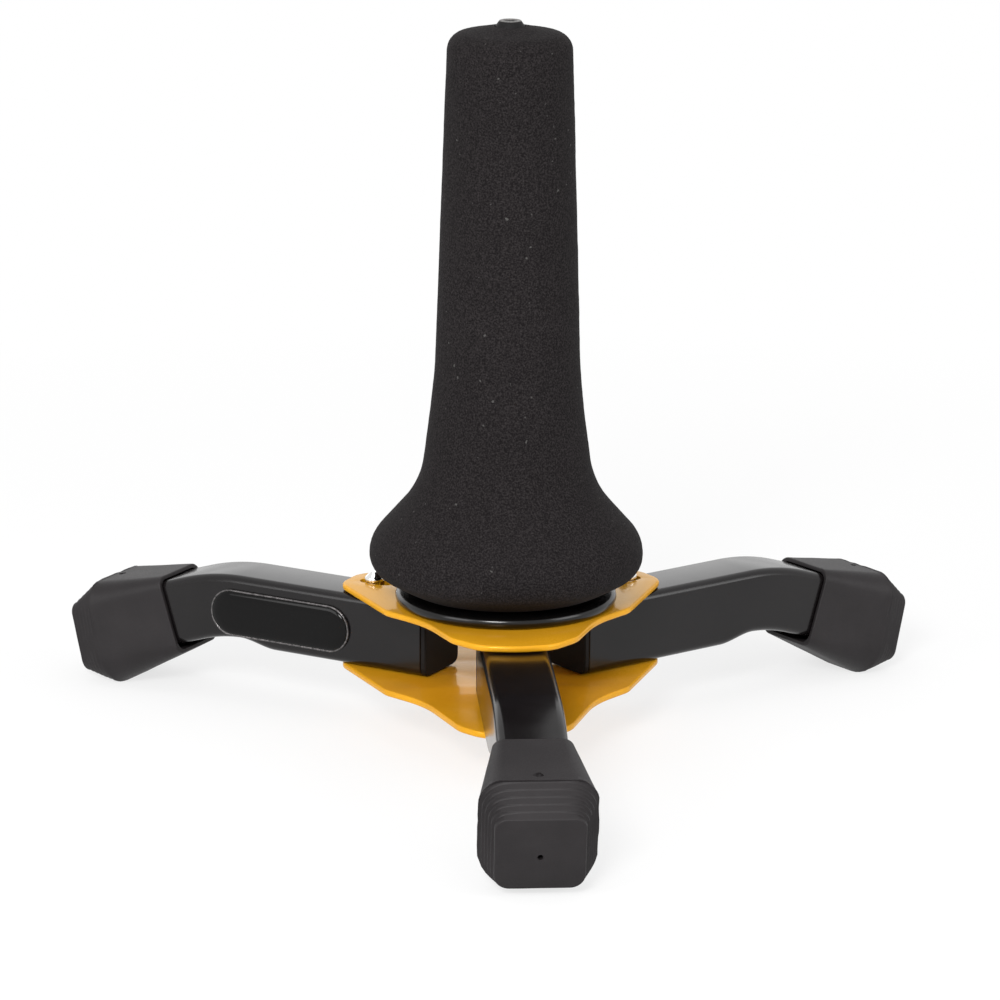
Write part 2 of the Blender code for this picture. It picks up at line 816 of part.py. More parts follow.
def foam_profile():
    """Down the outer side: domed tip, slow taper, flare, bulge; then up the bore."""
    tip = foam_tip_diameter / 2
    neck = foam_neck_diameter / 2
    bulge = foam_bulge_diameter / 2
    hole = nub_base_diameter / 2 + foam_bore_clearance
    bore = peg_radius + foam_bore_clearance
    roof = cap_collar_top + foam_bore_clearance
    outer = rounded_path([
        (hole, foam_top_height, 0),
        (tip, foam_top_height - foam_tip_dome, foam_tip_rounding),
        (foam_waist_diameter / 2, foam_waist_height, foam_waist_rounding),
        (neck, foam_neck_height, foam_neck_rounding),
        (bulge, foam_neck_height - (bulge - neck) * math.tan(foam_flare_slope),
         foam_bulge_rounding),
        (bulge, peg_under + foam_belly_rise, foam_belly_rounding),
        (foam_seat_diameter / 2, peg_under, foam_seat_rounding),
        (bore, peg_under, 0)], False, 4)
    return outer + [(bore, roof), (hole, roof)]


turned("foam_sleeve", foam_profile(), black_foam("foam_sleeve"), hub, steps=36, closed=True)


# Front leg, screwed to the lower plate from below

front_mount = add_empty("front_leg_place", hub, pin_place(front_direction), front_direction)
front_tube = make_leg("front", front_mount)
screw_hole = screw_diameter / 2 + bolt_clearance
for index in range(2):
    cut(front_tube, leg_cutter("front_screw_hole_%d" % (index + 1), screw_hole,
                               screw_first + screw_spacing * index,
                               leg_bottom - cutter_overrun,
                               leg_bottom + leg_wall + cutter_overrun, front_mount))


def screw_profile():
    """Pan-head screw standing on its head, below the lower plate."""
    seat = lower_plate_height - seat_gap
    tip = nut_under + nut_thickness + screw_grip
    head = screw_head_diameter / 2
    shank = screw_diameter / 2
    dome = rounded_path([(0, seat - screw_head_height, 0),
                         (head, seat - screw_head_height, 1.0 * MM), (head, seat, 0)], False, 2)
    return ([(0, tip), (shank - 0.4 * MM, tip), (shank, tip - 0.4 * MM), (shank, seat)]
            + list(reversed(dome)))


nut_under = leg_bottom + leg_wall + seat_gap


def hexagon_mesh(name, across_flats, height, hole_radius=0.0):
    """Hexagonal prism centred on z = 0, with a round hole up its middle if asked."""
    flat = across_flats / math.sqrt(3)
    outline = arc_points((0, 0), flat, 0, 2 * math.pi * 5 / 6, 5)
    holes = [circle_outline(0, 0, hole_radius, 12)] if hole_radius else []
    return flat_mesh(name, [outline] + holes, height, 0.0)


def make_front_fixing(number, along):
    """One screw from below and its nut inside the tube."""
    name = "front_leg_screw_%d" % number
    turned(name, screw_profile(), zinc_steel(name), hub, (0, -along, 0), steps=16)
    name = "front_leg_nut_%d" % number
    add_object(name, hexagon_mesh(name, nut_across_flats, nut_thickness, screw_hole),
               zinc_steel(name), hub, (0, -along, nut_under + nut_thickness / 2))


for index in range(2):
    make_front_fixing(index + 1, screw_first + screw_spacing * index)


# Side legs, each on a pin that slides in the slots

bush_radius = pin_diameter / 2 + bush_clearance + bush_wall


def pin_profile():
    """Domed head over the upper plate, shank, and a riveted tail under the washer."""
    shank = pin_diameter / 2
    head = pin_head_diameter / 2
    head_under = upper_plate_top + seat_gap - leg_middle
    head_top = head_under + pin_head_height
    washer_low = lower_plate_height - seat_gap - pin_washer_thickness
    tail_top = washer_low - seat_gap - leg_middle
    tail = pin_tail_diameter / 2
    dome = rounded_path([(0, head_top, 0), (head, head_top, head * 0.8), (head, head_under, 0)],
                        False, 5)
    return dome + [(shank, head_under), (shank, tail_top), (tail, tail_top),
                   (tail, tail_top - 0.6 * pin_tail_height),
                   (0.6 * tail, tail_top - pin_tail_height), (0, tail_top - pin_tail_height)]


def make_side_leg(side, direction, swing):
    """Pin and leg of one side, the leg turned by a small swing from its slot's line."""
    slide = add_empty(side + "_slide", hub, pin_place(direction), direction)
    hinge = add_empty(side + "_hinge", slide, turn=swing)
    turned(side + "_pin", pin_profile(), bright_steel(side + "_pin"), slide, steps=20)
    washer_high = lower_plate_height - seat_gap - leg_middle
    turned(side + "_pin_washer",
           ring(pin_washer_diameter / 2, pin_diameter / 2 + bush_clearance,
                washer_high - pin_washer_thickness, washer_high, 0.2 * MM),
           bright_steel(side + "_pin_washer"), slide, steps=20, closed=True)
    turned(side + "_pivot_bush",
           ring(bush_radius, pin_diameter / 2 + bush_clearance, -leg_height / 2, leg_height / 2),
           zinc_steel(side + "_pivot_bush"), hinge, steps=20, closed=True)
    tube = make_leg(side, hinge)
    cut(tube, leg_cutter(side + "_bush_hole", bush_radius + press_gap, pin_home,
                         leg_bottom - cutter_overrun, leg_top + cutter_overrun, hinge))
    return hinge


left_hinge = make_side_leg("left", left_direction, -turned_past)
make_side_leg("right", right_direction, turned_past)


# Badge on the side of the left leg that faces the front

def badge_mesh():
    """Stadium with a low rim and a domed face, lofted from shrinking outlines."""
    radius = badge_height / 2
    half_straight = badge_length / 2 - radius
    rings = []
    stations = [(0.0, 0.0), (0.0, badge_rim_height)]
    dome = badge_thickness - badge_rim_height
    for share in (0.06, 0.2, 0.4, 0.65, 0.88):
        stations.append((share * radius, badge_rim_height + dome * math.sqrt(1 - (1 - share) ** 2)))
    for inset, height in stations:
        ends = []
        for sign in (1, -1):
            centre = sign * half_straight
            for index in range(11):
                angle = math.pi * (index / 10 - 0.5) + (0 if sign == 1 else math.pi)
                ends.append((centre + (radius - inset) * math.cos(angle),
                             (radius - inset) * math.sin(angle)))
        rings.append([Vector((badge_centre + x - pin_home,
                              leg_width / 2 + seat_gap + height,
                              z - badge_drop)) for x, z in ends])
    return loft("badge", rings)


badge = add_object("left_badge", badge_mesh(), gloss_black("left_badge"), left_hinge)
shade(badge, 30.0)
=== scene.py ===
"""Looks of the folding soprano saxophone stand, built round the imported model.

Each visible piece is rebuilt with finer surfaces in the place of its CAD node and rides
on the same body. Hidden fixings keep their CAD shape and get a finish of their own.
Metres, +Z up, the front leg along -Y, the floor at z = 0.
"""

import contextlib
import math

import bmesh
import bpy
from mathutils import Matrix, Vector, noise


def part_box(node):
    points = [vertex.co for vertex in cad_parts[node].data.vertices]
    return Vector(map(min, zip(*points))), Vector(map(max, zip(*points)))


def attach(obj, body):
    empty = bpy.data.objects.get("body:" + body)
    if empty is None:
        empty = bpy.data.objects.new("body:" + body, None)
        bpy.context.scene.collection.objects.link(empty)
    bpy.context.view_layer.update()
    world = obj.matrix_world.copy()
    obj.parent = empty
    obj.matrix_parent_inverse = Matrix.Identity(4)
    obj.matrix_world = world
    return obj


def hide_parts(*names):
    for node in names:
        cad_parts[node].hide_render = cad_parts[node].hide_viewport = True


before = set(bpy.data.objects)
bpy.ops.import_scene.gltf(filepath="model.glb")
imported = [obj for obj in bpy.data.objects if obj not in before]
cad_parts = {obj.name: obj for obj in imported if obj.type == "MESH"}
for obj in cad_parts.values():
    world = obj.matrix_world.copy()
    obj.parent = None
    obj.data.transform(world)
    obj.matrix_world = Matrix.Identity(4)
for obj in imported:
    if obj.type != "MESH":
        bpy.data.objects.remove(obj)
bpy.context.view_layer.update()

MM = 0.001

# How closely places are told apart
weld_distance = 0.001 * MM
turned_weld_distance = 0.002 * MM
outline_grid = 0.01 * MM
hole_reach = 0.05 * MM
flat_angle = math.radians(0.3)
corner_angle = math.radians(60)
rounding_reach_limit = 0.49

# Hub plates
lobe_reach = 54.5 * MM
lobe_tip_rounding = 8.0 * MM
rear_lobe_front_side = 5.6 * MM
rear_lobe_back_side = 6.7 * MM
lower_front_reach = 55.5 * MM
lower_front_corner = (10.5 * MM, -54.0 * MM)
lower_front_flank = (17.1 * MM, -46.7 * MM)
upper_front_reach = 50.0 * MM
upper_front_corner = (11.0 * MM, -48.2 * MM)
upper_front_flank = (18.9 * MM, -40.0 * MM)
front_edge_rounding = 30.0 * MM
front_corner_rounding = 12.0 * MM
front_flank_rounding = 12.0 * MM
waist = (26.1 * MM, -21.5 * MM)
waist_rounding = 40.0 * MM
hip = (37.3 * MM, -9.5 * MM)
hip_rounding = 9.0 * MM
back_edge_reach = 38.2 * MM
back_edge_rounding = 40.0 * MM
plate_edge_rounding = 0.75 * MM
slot_edge_rounding = 0.3 * MM
slot_inner_end = 39.0 * MM
slot_outer_end = 50.1 * MM
slot_width = 4.8 * MM
centre_hole = 8.6 * MM
screw_hole = 4.6 * MM
screw_places = (36.0 * MM, 48.0 * MM)

# Pins
pin_home = 45.5 * MM
pin_diameter = 4.2 * MM
pin_head_diameter = 5.8 * MM
pin_head_gap = 0.3 * MM
pin_head_flat_share = 0.34
pin_head_side_share = 0.62
pin_head_rounding_share = 0.75
pin_head_top_rounding = 0.4 * MM
pin_head_edge = 0.25 * MM
pin_tail_radius = 3.2 * MM
pin_tail_height = 1.2 * MM
pin_tail_side = 0.5 * MM
pin_tail_flat_share = 0.6
pin_tail_top_rounding = 0.3 * MM
pin_tail_side_rounding = 0.5 * MM
pin_tail_low_rounding = 0.4 * MM

# Flange and peg
flange_diameter = 67.6 * MM
flange_rim_rounding = 1.75 * MM
nub_base_diameter = 8.8 * MM
nub_top_diameter = 6.4 * MM
nub_recess_diameter = 4.4 * MM
nub_recess_depth = 0.5 * MM
nub_recess_slope = 0.4 * MM
nub_recess_rounding = 0.3 * MM
nub_lip_rounding = 0.25 * MM
nub_top_rounding = 0.45 * MM
nub_base_rounding = 0.5 * MM
nub_pale_top_depth = 0.35 * MM
cap_collar_depth = 2.4 * MM
cap_plug_radius = 5.4 * MM

# Foam sleeve
foam_bulge_diameter = 83.7 * MM
foam_bulge_rounding = 13.3 * MM
foam_flare_slope = math.radians(48.3)
foam_belly_rise = 6.8 * MM
foam_belly_rounding = 12.6 * MM
foam_seat_diameter = 58.3 * MM
foam_seat_rounding = 14.7 * MM
foam_neck_diameter = 53.0 * MM
foam_neck_height = 81.1 * MM
foam_neck_rounding = 26.0 * MM
foam_waist_diameter = 44.4 * MM
foam_waist_height = 113.6 * MM
foam_waist_rounding = 250.0 * MM
foam_tip_diameter = 37.6 * MM
foam_tip_dome = 2.6 * MM
foam_tip_rounding = 5.6 * MM
foam_unevenness = 0.16 * MM
foam_grain_height = 0.07 * MM
foam_nub_clearance = 0.3 * MM
foam_bore_radius = 7.3 * MM
foam_roof_depth = 3.0 * MM
foam_outline_step = 1.6 * MM
foam_even_margin = 1.0 * MM
foam_wave_scale = 55.0
foam_ripple_scale = 140.0
foam_grain_scale = 900.0

# Legs
leg_width = 20.5 * MM
leg_height = 22.4 * MM
leg_corner_rounding = 2.6 * MM
leg_wall = 1.3 * MM
leg_end_edge = 0.25 * MM
plug_face_thickness = 1.9 * MM
leg_bend_start = 89.0 * MM
leg_bend_radius = 59.0 * MM
leg_bend_angle = math.radians(18.0)
leg_tail = 23.0 * MM
pinch_length = 13.0 * MM
pinch_depth = 2.2 * MM
pinch_left_over = 1.7 * MM
open_angle = math.radians(120.0)
turned_past = math.radians(2.9)

# Rubber boots
boot_mouth_after_bend = 7.0 * MM
boot_lip = 1.6 * MM
boot_lip_rounding = 0.6 * MM
boot_lip_inner_edge = 0.1 * MM
boot_mouth_corner = 3.6 * MM
boot_mouth_droop = 1.6 * MM
boot_droop_length = 7.0 * MM
boot_clearance = 0.3 * MM
boot_floor_gap = 0.5 * MM
boot_ridge_top = (23.7 * MM, 15.6 * MM)
boot_ridge_bottom_along = 26.6 * MM
boot_tread_length = 3.0 * MM
boot_ridge_half_width = 16.8 * MM
boot_ridge_corner = 7.0 * MM
boot_ridge_low_corner = 11.0 * MM
boot_ridge_land = 0.7 * MM
boot_land_fall = 0.2
boot_land_dip = 0.05 * MM
boot_flash_start = 0.08
boot_groove_start = 0.14
boot_flash_height = 0.34 * MM
boot_flash_thickness = 0.22 * MM
boot_flash_drift = 0.30 * MM
boot_flash_scale = 230.0
boot_fray_level = 0.55
boot_fray_least = 0.1
boot_groove_depth = 0.34 * MM
boot_gate_before_ridge = 2.6 * MM
boot_gate_radius = 1.25 * MM
boot_gate_sink = 0.35 * MM
boot_gate_aside = 0.2 * MM
boot_gate_length_share = 0.9
boot_gate_width_share = 1.15
boot_gate_roughness = 0.6
boot_gate_scale = 1400.0
boot_end_top = (34.9 * MM, 10.4 * MM)
boot_end_bottom = (36.8 * MM, -12.2 * MM)
boot_end_half_width = 12.9 * MM
boot_end_corner = 3.4 * MM
boot_end_low_corner = 4.4 * MM
boot_end_rounding = 0.55 * MM
boot_corner_steps = 10
boot_side_steps = 8
boot_cuff_shares = (0.12, 0.28, 0.46, 0.64, 0.80, 0.92, 1.0)
boot_steps = 5
boot_step_profile = ((0.06, 0.30), (0.15, 0.78), (0.24, 0.92), (0.88, 0.98), (1.0, 1.0))
boot_middle_steps = 0.25
boot_middle_share = 0.35
boot_middle_fade = 0.5
boot_vent_diameter = 1.6 * MM
boot_vent_depth = 2.6 * MM
boot_vent_below_middle = 1.0 * MM
boot_vent_overrun = 2 * MM
boot_vent_sides = 20
boot_waviness = 0.09 * MM
boot_waviness_scale = 130.0
boot_tread_margin = 0.3 * MM

# Badge
badge_centre = 73.3 * MM
badge_length = 50.2 * MM
badge_height = 14.9 * MM
badge_rim_width = 0.55 * MM
badge_rim_rise = 0.5 * MM
badge_thickness = 1.5 * MM
badge_shoulder = 3.6 * MM
badge_crown = 0.12 * MM
badge_gap = 0.3 * MM
badge_rim_steps = 6
badge_shoulder_steps = 14
badge_end_steps = 32
badge_drop = 0.4 * MM

# Camera, worked out from the photograph
camera_distance = 1.430
camera_elevation = math.radians(13.97)
camera_aim_height = 97.5 * MM
camera_pan = math.radians(-0.08)
camera_tilt = math.radians(-0.844)
camera_roll = math.radians(0.437)
camera_lens = 170.0
camera_sensor = 36.0
stand_turn = math.radians(3.93)

# Light
sky_light = 0.52
floor_near_white = 0.74
floor_shadow_reach = 0.22
floor_white_reach = 0.60
floor_half_size = 6.0
lamp_aim = (0.0, 0.02, 0.08)


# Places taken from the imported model

def corners(node):
    low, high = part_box(node)
    return Vector(low), Vector(high)


flange_low, flange_high = corners("flange_disc")
hub = (flange_low + flange_high) / 2
hub.z = 0.0
plates_top = corners("upper_plate")[1].z
foam_low, foam_high = corners("foam_sleeve")
leg_low, leg_high = corners("left_pivot_bush")
leg_middle = (leg_low.z + leg_high.z) / 2
leg_inner_end = hub.y - corners("front_inner_plug")[1].y

front_direction = -math.pi / 2
left_direction = front_direction - open_angle
right_direction = front_direction + open_angle
hub_place = Matrix.Translation(hub)


def leg_place(direction, swing):
    """Leg space to the stand's frame: origin on the pin at mid height, +X outwards."""
    pin = Vector((pin_home * math.cos(direction), pin_home * math.sin(direction), leg_middle))
    return hub_place @ Matrix.Translation(pin) @ Matrix.Rotation(direction + swing, 4, 'Z')


leg_places = {
    "front": leg_place(front_direction, 0.0),
    "left": leg_place(left_direction, -turned_past),
    "right": leg_place(right_direction, turned_past),
}


# Material helpers

def new_material(name):
    material = bpy.data.materials.new(name)
    material.use_nodes = True
    return material, material.node_tree, material.node_tree.nodes["Principled BSDF"]


def set_inputs(node, **values):
    """Set inputs by socket name, with an underscore for each space in it."""
    for key, value in values.items():
        node.inputs[key.replace("_", " ")].default_value = value


def add_node(tree, kind, **values):
    """One shader node; values set its properties or, by socket name, its inputs."""
    node = tree.nodes.new("ShaderNode" + kind)
    for key, value in values.items():
        if hasattr(node, key):
            setattr(node, key, value)
        else:
            set_inputs(node, **{key: value})
    return node


def wire(tree, source, output, target, socket):
    tree.links.new(source.outputs[output], target.inputs[socket])


def object_point(tree):
    return add_node(tree, "TexCoord")


def speckle(tree, scale, detail=2.0, roughness=0.5):
    """Noise in object space, whose scale is in cells per metre."""
    texture = add_node(tree, "TexNoise", Scale=scale, Detail=detail, Roughness=roughness)
    wire(tree, object_point(tree), "Object", texture, "Vector")
    return texture


def cell_pattern(tree, scale):
    """Round cells in object space, at so many per metre."""
    cells = add_node(tree, "TexVoronoi", Scale=scale)
    wire(tree, object_point(tree), "Object", cells, "Vector")
    return cells


def between(tree, source, output, low, high, into_low=0.0, into_high=1.0):
    """An output's range from low to high, stretched over another range."""
    ramp = add_node(tree, "MapRange")
    set_inputs(ramp, From_Min=low, From_Max=high, To_Min=into_low, To_Max=into_high)
    wire(tree, source, output, ramp, "Value")
    return ramp


def combine(tree, operation, first, first_output, second, second_output):
    """Math on two outputs."""
    node = add_node(tree, "Math", operation=operation)
    wire(tree, first, first_output, node, 0)
    wire(tree, second, second_output, node, 1)
    return node


def colour_input(mix, name):
    return next(socket for socket in mix.inputs if socket.type == 'RGBA' and socket.name == name)


def colour_output(mix):
    return next(socket for socket in mix.outputs if socket.type == 'RGBA')


def mix_colours(tree, share, output, dark, light):
    mix = add_node(tree, "Mix", data_type='RGBA')
    wire(tree, share, output, mix, "Factor")
    colour_input(mix, "A").default_value = (*dark, 1.0)
    colour_input(mix, "B").default_value = (*light, 1.0)
    return mix


def tint(tree, shader, texture, output, low, high, dark, light):
    """Base colour from dark to light as a texture's value goes from low to high."""
    mix = mix_colours(tree, between(tree, texture, output, low, high), "Result", dark, light)
    tree.links.new(colour_output(mix), shader.inputs["Base Color"])


def vary_roughness(tree, shader, texture, output, low, high, smoothest, roughest):
    rough = between(tree, texture, output, low, high, smoothest, roughest)
    wire(tree, rough, "Result", shader, "Roughness")


def bump(tree, shader, height, output, distance, strength=1.0, under=None):
    node = add_node(tree, "Bump", Strength=strength, Distance=distance)
    wire(tree, height, output, node, "Height")
    if under is not None:
        wire(tree, under, "Normal", node, "Normal")
    wire(tree, node, "Normal", shader, "Normal")
    return node


def finish(name, colour=None, rough=None, relief=None, **inputs):
    """Material whose colour, roughness and relief each follow a speckle, given by its scale,
    detail and roughness. colour is (speckle, low, high, dark, light), rough is (speckle,
    low, high, smoothest, roughest) and relief is (speckle, distance, strength)."""
    material, tree, shader = new_material(name)
    if colour:
        tint(tree, shader, speckle(tree, *colour[0]), "Fac", *colour[1:])
    if rough:
        vary_roughness(tree, shader, speckle(tree, *rough[0]), "Fac", *rough[1:])
    if relief:
        bump(tree, shader, speckle(tree, *relief[0]), "Fac", *relief[1:])
    set_inputs(shader, **inputs)
    return material


def gloss(name, roughness, shine):
    """Gloss black moulding with very faint dust and fine swirl marks."""
    return finish(
        name,
        colour=((2600.0, 2.0), 0.66, 0.76, (0.0020, 0.0018, 0.0018), (0.0080, 0.0076, 0.0076)),
        rough=((90.0, 4.0, 0.6), 0.3, 0.75, roughness, roughness + 0.07),
        Specular_IOR_Level=shine)


def foam_material():
    """Fine black foam rubber: open pores, pale cell edges and a few light specks."""
    material, tree, shader = new_material("black_foam")
    cells = cell_pattern(tree, 1500.0)
    grain = speckle(tree, 1900.0, 3.0, 0.7)
    cloud = speckle(tree, 26.0, 4.0, 0.6)
    base = mix_colours(tree, between(tree, grain, "Fac", 0.41, 0.68), "Result",
                       (0.0050, 0.0041, 0.0044), (0.0262, 0.0228, 0.0233))
    shade = between(tree, cloud, "Fac", 0.3, 0.7, 0.75, 1.15)
    mottled = add_node(tree, "Mix", data_type='RGBA', blend_type='MULTIPLY', Factor=0.5)
    tree.links.new(colour_output(base), colour_input(mottled, "A"))
    tree.links.new(shade.outputs["Result"], colour_input(mottled, "B"))
    specks = between(tree, speckle(tree, 640.0, 1.0), "Fac", 0.76, 0.79)
    light = add_node(tree, "Mix", data_type='RGBA')
    wire(tree, specks, "Result", light, "Factor")
    tree.links.new(colour_output(mottled), colour_input(light, "A"))
    colour_input(light, "B").default_value = (0.060, 0.058, 0.056, 1.0)
    tree.links.new(colour_output(light), shader.inputs["Base Color"])
    set_inputs(shader, Roughness=0.92, Specular_IOR_Level=0.12)
    pores = between(tree, cells, "Distance", 0.0, 0.55)
    first = bump(tree, shader, pores, "Result", 0.10 * MM, 0.5)
    bump(tree, shader, grain, "Fac", 0.12 * MM, 0.6, first)
    return material


def zinc_material():
    """Zinc plate with the cloudy grain that it has on screws and washers."""
    material, tree, shader = new_material("zinc_plating")
    cells = cell_pattern(tree, 700.0)
    tint(tree, shader, cells, "Distance", 0.0, 0.9, (0.50, 0.51, 0.52), (0.62, 0.63, 0.64))
    vary_roughness(tree, shader, cells, "Distance", 0.0, 0.9, 0.26, 0.42)
    set_inputs(shader, Metallic=1.0)
    return material


# Gold-lacquered plate: warm metal flake under a hard clear coat
gold = finish(
    "gold_lacquer",
    colour=((60.0, 3.0), 0.3, 0.7, (0.62, 0.290, 0.010), (0.71, 0.336, 0.013)),
    rough=((5200.0, 1.0), 0.3, 0.7, 0.24, 0.36),
    relief=((420.0, 2.0), 0.012 * MM, 0.35),
    Metallic=0.12, Specular_IOR_Level=0.05, Specular_Tint=(1.0, 0.92, 0.35, 1.0),
    Coat_Weight=0.30, Coat_Roughness=0.03)
# Black stove enamel on the tubes: satin, with a faint orange peel and rubbed spots
enamel = finish(
    "black_enamel",
    colour=((38.0, 4.0, 0.6), 0.35, 0.7, (0.0036, 0.0028, 0.0030), (0.0062, 0.0050, 0.0053)),
    rough=((38.0, 4.0, 0.6), 0.3, 0.7, 0.15, 0.23),
    relief=((900.0, 3.0), 0.01 * MM, 0.12),
    Specular_IOR_Level=0.34)
flange_gloss = gloss("flange_gloss", 0.17, 0.36)
badge_gloss = gloss("badge_gloss", 0.04, 0.17)
# Fine bright line round the badge: a painted highlight, where its edge would catch the light,
# coloured all the way round
badge_rim_painted_highlight = finish(
    "badge_rim_painted_highlight",
    colour=((800.0, 3.0), 0.35, 0.65, (0.055, 0.052, 0.052), (0.16, 0.15, 0.15)),
    Metallic=0.7, Roughness=0.22)
# Moulded grey-black rubber: matte, finely grained, paler where it is rubbed
rubber = finish(
    "boot_rubber",
    colour=((55.0, 5.0, 0.6), 0.3, 0.72, (0.0098, 0.0080, 0.0087), (0.0162, 0.0138, 0.0147)),
    rough=((2600.0, 3.0, 0.6), 0.3, 0.7, 0.46, 0.62),
    relief=((2600.0, 3.0, 0.6), 0.05 * MM, 0.35),
    Specular_IOR_Level=0.26)
foam = foam_material()
# Matte black moulding of the peg's cap and the tubes' end plugs
plastic = finish(
    "black_moulding",
    colour=((1800.0, 3.0), 0.3, 0.7, (0.0045, 0.0040, 0.0042), (0.0085, 0.0078, 0.0080)),
    relief=((1800.0, 3.0), 0.03 * MM, 0.3),
    Roughness=0.55, Specular_IOR_Level=0.15)
# Paler colour on the top faces of the nub
nub_top = finish(
    "nub_top",
    colour=((1500.0, 3.0), 0.3, 0.7, (0.070, 0.066, 0.064), (0.150, 0.144, 0.139)),
    Roughness=0.5)
# Bright plating of the pins and their washers, with fine wear
chrome = finish(
    "bright_plating",
    rough=((700.0, 4.0, 0.6), 0.3, 0.75, 0.06, 0.16),
    Base_Color=(0.80, 0.80, 0.79, 1.0), Metallic=1.0)
zinc = zinc_material()


# Piece helpers

def new_object(name, data):
    item = bpy.data.objects.new(name, data)
    bpy.context.scene.collection.objects.link(item)
    return item


def add_piece(name, mesh, material, body, node):
    """A mesh as a shown piece that stands for one CAD node and rides on its body."""
    piece = new_object(name, mesh)
    if material is not None:
        mesh.materials.append(material)
    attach(piece, body)
    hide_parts(node)
    return piece


@contextlib.contextmanager
def editing(mesh, outwards=False):
    """The mesh opened for changes, then written back, with its faces turned outwards if asked."""
    work = bmesh.new()
    work.from_mesh(mesh)
    yield work
    if outwards:
        bmesh.ops.recalc_face_normals(work, faces=work.faces)
    work.to_mesh(mesh)
    work.free()


def evaluated_mesh(item):
    view = bpy.context.evaluated_depsgraph_get()
    return bpy.data.meshes.new_from_object(item.evaluated_get(view))


def smooth(mesh, angle=40.0):
    mesh.shade_smooth()
    mesh.set_sharp_from_angle(angle=math.radians(angle))
    return mesh


def arc_points(centre, radius, start, end, steps):
    points = []
    for index in range(steps + 1):
        angle = start + (end - start) * index / steps
        points.append((centre[0] + radius * math.cos(angle),
                       centre[1] + radius * math.sin(angle)))
    return points


def round_corner(before, corner, after, radius, steps):
    """Arc of the given radius in place of a corner, smaller where the sides are short."""
    corner = Vector(corner)
    into = Vector(before) - corner
    out = Vector(after) - corner
    limit = rounding_reach_limit * min(into.length, out.length)
    into.normalize()
    out.normalize()
    half = into.angle(out) / 2
    reach = radius / math.tan(half)
    if reach > limit:
        reach = limit
        radius = reach * math.tan(half)
    middle = (into + out).normalized()
    centre = corner + middle * (radius / math.sin(half))
    first = corner + into * reach - centre
    last = corner + out * reach - centre
    start = math.atan2(first.y, first.x)
    sweep = math.atan2(last.y, last.x) - start
    sweep = (sweep + math.pi) % (2 * math.pi) - math.pi
    return arc_points(centre, radius, start, start + sweep, steps)


def rounded_path(path_corners, closed, steps=8):
    """Corners are (x, y, rounding); an open path keeps its two end points."""
    points = []
    count = len(path_corners)
    for index, (x, y, radius) in enumerate(path_corners):
        at_end = not closed and index in (0, count - 1)
        if at_end or radius == 0:
            points.append((x, y))
            continue
        before = path_corners[index - 1][:2]
        after = path_corners[(index + 1) % count][:2]
        points.extend(round_corner(before, (x, y), after, radius, steps))
    return points


def circle_outline(x, y, radius, steps=40):
    return arc_points((x, y), radius, 0, 2 * math.pi * (steps - 1) / steps, steps - 1)


def slot_outline(direction, steps=14):
    radius = slot_width / 2
    far = arc_points((slot_outer_end - radius, 0), radius, -math.pi / 2, math.pi / 2, steps)
    near = arc_points((slot_inner_end + radius, 0), radius, math.pi / 2, 3 * math.pi / 2, steps)
    cos, sin = math.cos(direction), math.sin(direction)
    return [(x * cos - y * sin, x * sin + y * cos) for x, y in far + near]


def flat_curve(name, outlines, height):
    """Curve that fills the first outline, less the others, to a height."""
    curve = bpy.data.curves.new(name, 'CURVE')
    curve.dimensions = '2D'
    curve.fill_mode = 'BOTH'
    curve.extrude = height / 2
    for outline in outlines:
        spline = curve.splines.new('POLY')
        spline.points.add(len(outline) - 1)
        for point, (x, y) in zip(spline.points, outline):
            point.co = (x, y, 0, 1)
        spline.use_cyclic_u = True
    return curve


def plate_mesh(name, outlines, height):
    """Plate from 2D outlines, with both faces rounded over at the rim and at the holes."""
    curve = flat_curve(name, outlines, height)
    holder = new_object(name, curve)
    mesh = evaluated_mesh(holder)
    bpy.data.objects.remove(holder, do_unlink=True)
    bpy.data.curves.remove(curve)
    rim = {(round(x / outline_grid), round(y / outline_grid)) for x, y in outlines[0]}
    hole_points = [Vector(point) for outline in outlines[1:] for point in outline]

    def on_rim(edge):
        return all((round(vert.co.x / outline_grid), round(vert.co.y / outline_grid)) in rim
                   for vert in edge.verts)

    def on_hole(edge):
        first = edge.verts[0].co.xy
        return (not on_rim(edge)
                and all(abs(abs(vert.co.z) - height / 2) < weld_distance for vert in edge.verts)
                and min((first - point).length for point in hole_points) < hole_reach)

    with editing(mesh, outwards=True) as work:
        bmesh.ops.remove_doubles(work, verts=work.verts, dist=weld_distance)
        bmesh.ops.dissolve_limit(work, angle_limit=flat_angle, verts=work.verts,
                                 edges=work.edges)
        for rounding, chosen in ((plate_edge_rounding, on_rim), (slot_edge_rounding, on_hole)):
            edges = [edge for edge in work.edges if len(edge.link_faces) == 2
                     and edge.calc_face_angle(0) > corner_angle and chosen(edge)]
            bmesh.ops.bevel(work, geom=edges, offset=rounding, offset_type='OFFSET',
                            segments=4, profile=0.5, affect='EDGES', clamp_overlap=True)
    mesh.name = name
    return mesh


def moved(mesh, matrix):
    mesh.transform(matrix)
    return mesh


def turned_mesh(name, profile, steps=96):
    """Closed or axis-touching profile of (radius, height), swept round the Z axis."""
    mesh = bpy.data.meshes.new(name)
    with editing(mesh, outwards=True) as work:
        points = [work.verts.new((radius, 0, height)) for radius, height in profile]
        edges = [work.edges.new(pair) for pair in zip(points, points[1:])]
        if profile[0][0] > 0:
            edges.append(work.edges.new((points[-1], points[0])))
        bmesh.ops.spin(work, geom=points + edges, axis=(0, 0, 1), cent=(0, 0, 0),
                       dvec=(0, 0, 0), angle=2 * math.pi, steps=steps, use_merge=True)
        bmesh.ops.remove_doubles(work, verts=work.verts, dist=turned_weld_distance)
    return mesh


